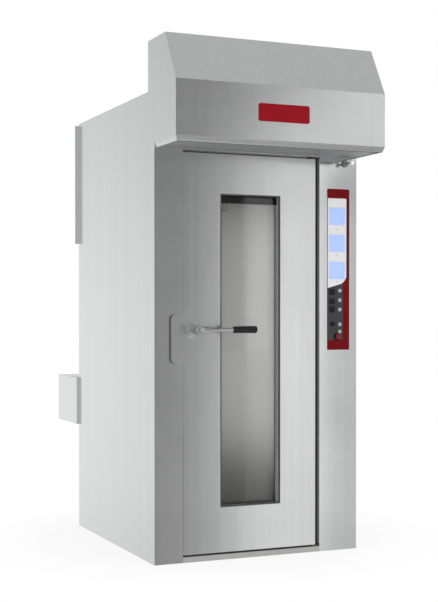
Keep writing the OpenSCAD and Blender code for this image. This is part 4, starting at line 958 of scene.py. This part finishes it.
def makeWorld():
    # plain fill for matt surfaces; metal sees a white backdrop behind the oven, and in front
    # a grey room with one tall softbox to the right
    part = studioPart
    world = bpy.data.worlds.new("studio")
    bpy.context.scene.world = world
    world.use_nodes = True
    tree = world.node_tree
    background = tree.nodes["Background"]
    direction = addNode(tree, "ShaderNodeTexCoord").outputs["Generated"]
    split = addNode(tree, "ShaderNodeSeparateXYZ", None, {0: Wire(tree, direction)})
    x, y, z = [Wire(tree, output) for output in split.outputs]
    turn = x.maths("ARCTAN2", x, 0 - y) * (180 / math.pi)
    rise = z.maths("ARCSINE", z) * (180 / math.pi)
    # the room in front leans to the right above a certain height
    ahead = turn.size() < part["ahead"]
    across = turn - part["lean"] * ahead * (rise - part["leanFrom"]).most(0)
    stops = [((angle + 180) / 360, tone) for angle, tone in part["room"]]
    ramp = addNode(tree, "ShaderNodeValToRGB", {"stops": stops}, {"Fac": (across + 180) / 360})
    room = Wire(tree, ramp.outputs["Color"]) - (turn.size() > part["back"]) * rise.most(0) * part["backFall"]
    # beside the softbox the room darkens upwards
    beside = turn > part["softboxRight"]
    room = room * (1 - part["topShade"] * beside * rise.past(part["shadeFrom"], part["shadeOver"]))
    # the tall softbox has a sharp left side, and above the hood's foot it is wider
    right = part["softboxRight"] + part["softboxWide"] * rise.past(part["wideFrom"], part["wideOver"])
    box = across.past(part["softboxLeft"], part["leftOver"]) * turn.short(right, part["rightOver"])
    room = room + box * (part["softbox"] - room)
    # the shine of the floor starts under level, then the dim room above and below, then the floor
    shine = rise.short(part["shineFrom"], part["shineOver"])
    room = room + shine * part["shine"] * (part["shineTone"] - room)
    room = room + rise.past(part["aboveFrom"], part["aboveOver"]) * (part["above"] - room)
    dim = part["below"] - part["belowFall"] * turn.past(part["fallFrom"], part["fallOver"])
    room = room + rise.short(part["belowFrom"], part["belowOver"]) * (dim - room)
    room = room + rise.short(part["floorFrom"], part["floorOver"]) * (part["floor"] - room)
    rays = addNode(tree, "ShaderNodeLightPath")
    glossy = Wire(tree, rays.outputs["Is Glossy Ray"])
    # a ray that leaves the glass forwards was reflected inside it, so it sees the room as well
    through = Wire(tree, rays.outputs["Is Transmission Ray"])
    seen = Wire(tree, rays.outputs["Is Camera Ray"]).most(through * (1 - ahead))
    glossy = glossy.most(through * ahead)
    plain = addNode(tree, "ShaderNodeMix", {"data_type": "RGBA"},
                    {0: glossy, 6: (part["fill"],) * 3, 7: room})
    shown = addNode(tree, "ShaderNodeMix", {"data_type": "RGBA"},
                    {0: seen, 6: Wire(tree, plain.outputs[2]), 7: (1.0, 1.0, 1.0)})
    tree.links.new(shown.outputs[2], background.inputs["Color"])


floorPart = {"size": 60, "below": 0.0005, "tone": (0.82, 0.82, 0.82), "rough": 0.9,
             "shadowTo": 0.82, "fadeOver": 0.5, "near": 0.86, "far": 0.14}


def makeFloor():
    part = floorPart
    floor = added("studioFloor", bpy.ops.mesh.primitive_plane_add, size=part["size"],
                  location=(0, 0, -part["below"]))
    floor.visible_glossy = False
    finish = Finish("studioFloor", Base_Color=part["tone"], Roughness=part["rough"])
    rays = finish.node("ShaderNodeLightPath")
    seen = Wire(finish.tree, rays.outputs["Is Camera Ray"]).most(
        Wire(finish.tree, rays.outputs["Is Transmission Ray"]))
    x, y, _ = finish.axes()
    # only the shadow close to the oven stays: further out the floor runs into the white background
    away = (x * x + y * y).power(0.5).past(part["shadowTo"], part["fadeOver"])
    pure = part["near"] + part["far"] * away
    pale = finish.node("ShaderNodeEmission", Color=(1.0, 1.0, 1.0), Strength=1.0)
    blend = addNode(finish.tree, "ShaderNodeMixShader", None, {0: seen * pure})
    finish.tree.links.new(finish.shader.outputs[0], blend.inputs[1])
    finish.tree.links.new(pale.outputs[0], blend.inputs[2])
    finish.tree.links.new(blend.outputs[0], finish.tree.nodes["Material Output"].inputs["Surface"])
    floor.data.materials.append(finish.material)


lampParts = {
    "chamberLight": {"place": (-0.14, -0.10, 1.13), "aim": (0.42, 0.21, 1.12), "size": 0.40, "tall": 1.42,
                     "power": 4.4, "spread": 76},
    "keyLamp": {"place": (1.4, -4.6, 1.7), "aim": (0, -0.4, 1.4), "size": 2.0, "power": 70},
    "leftLamp": {"place": (-4.6, -1.6, 3.2), "aim": (0, 0, 1.2), "size": 2.6, "power": 45},
    "topLamp": {"place": (0.2, -0.6, 5.2), "aim": (0, 0, 0), "size": 3.0, "power": 60},
}


def makeLamp(name, part):
    data = bpy.data.lights.new(name, "AREA")
    data.shape = "RECTANGLE"
    data.size = part["size"]
    data.size_y = part.get("tall", part["size"])
    data.energy = part["power"]
    data.spread = math.radians(part.get("spread", 180))
    lamp = bpy.data.objects.new(name, data)
    bpy.context.scene.collection.objects.link(lamp)
    place = Vector(part["place"])
    lamp.location = place
    lamp.rotation_euler = (Vector(part["aim"]) - place).to_track_quat("-Z", "Y").to_euler()
    for rays in ("camera", "glossy", "transmission"):
        setattr(lamp, "visible_" + rays, False)


makeCamera()
makeWorld()
makeFloor()
for name, part in lampParts.items():
    makeLamp(name, part)
bpy.context.scene.view_settings.view_transform = "Standard"
print("studio made")
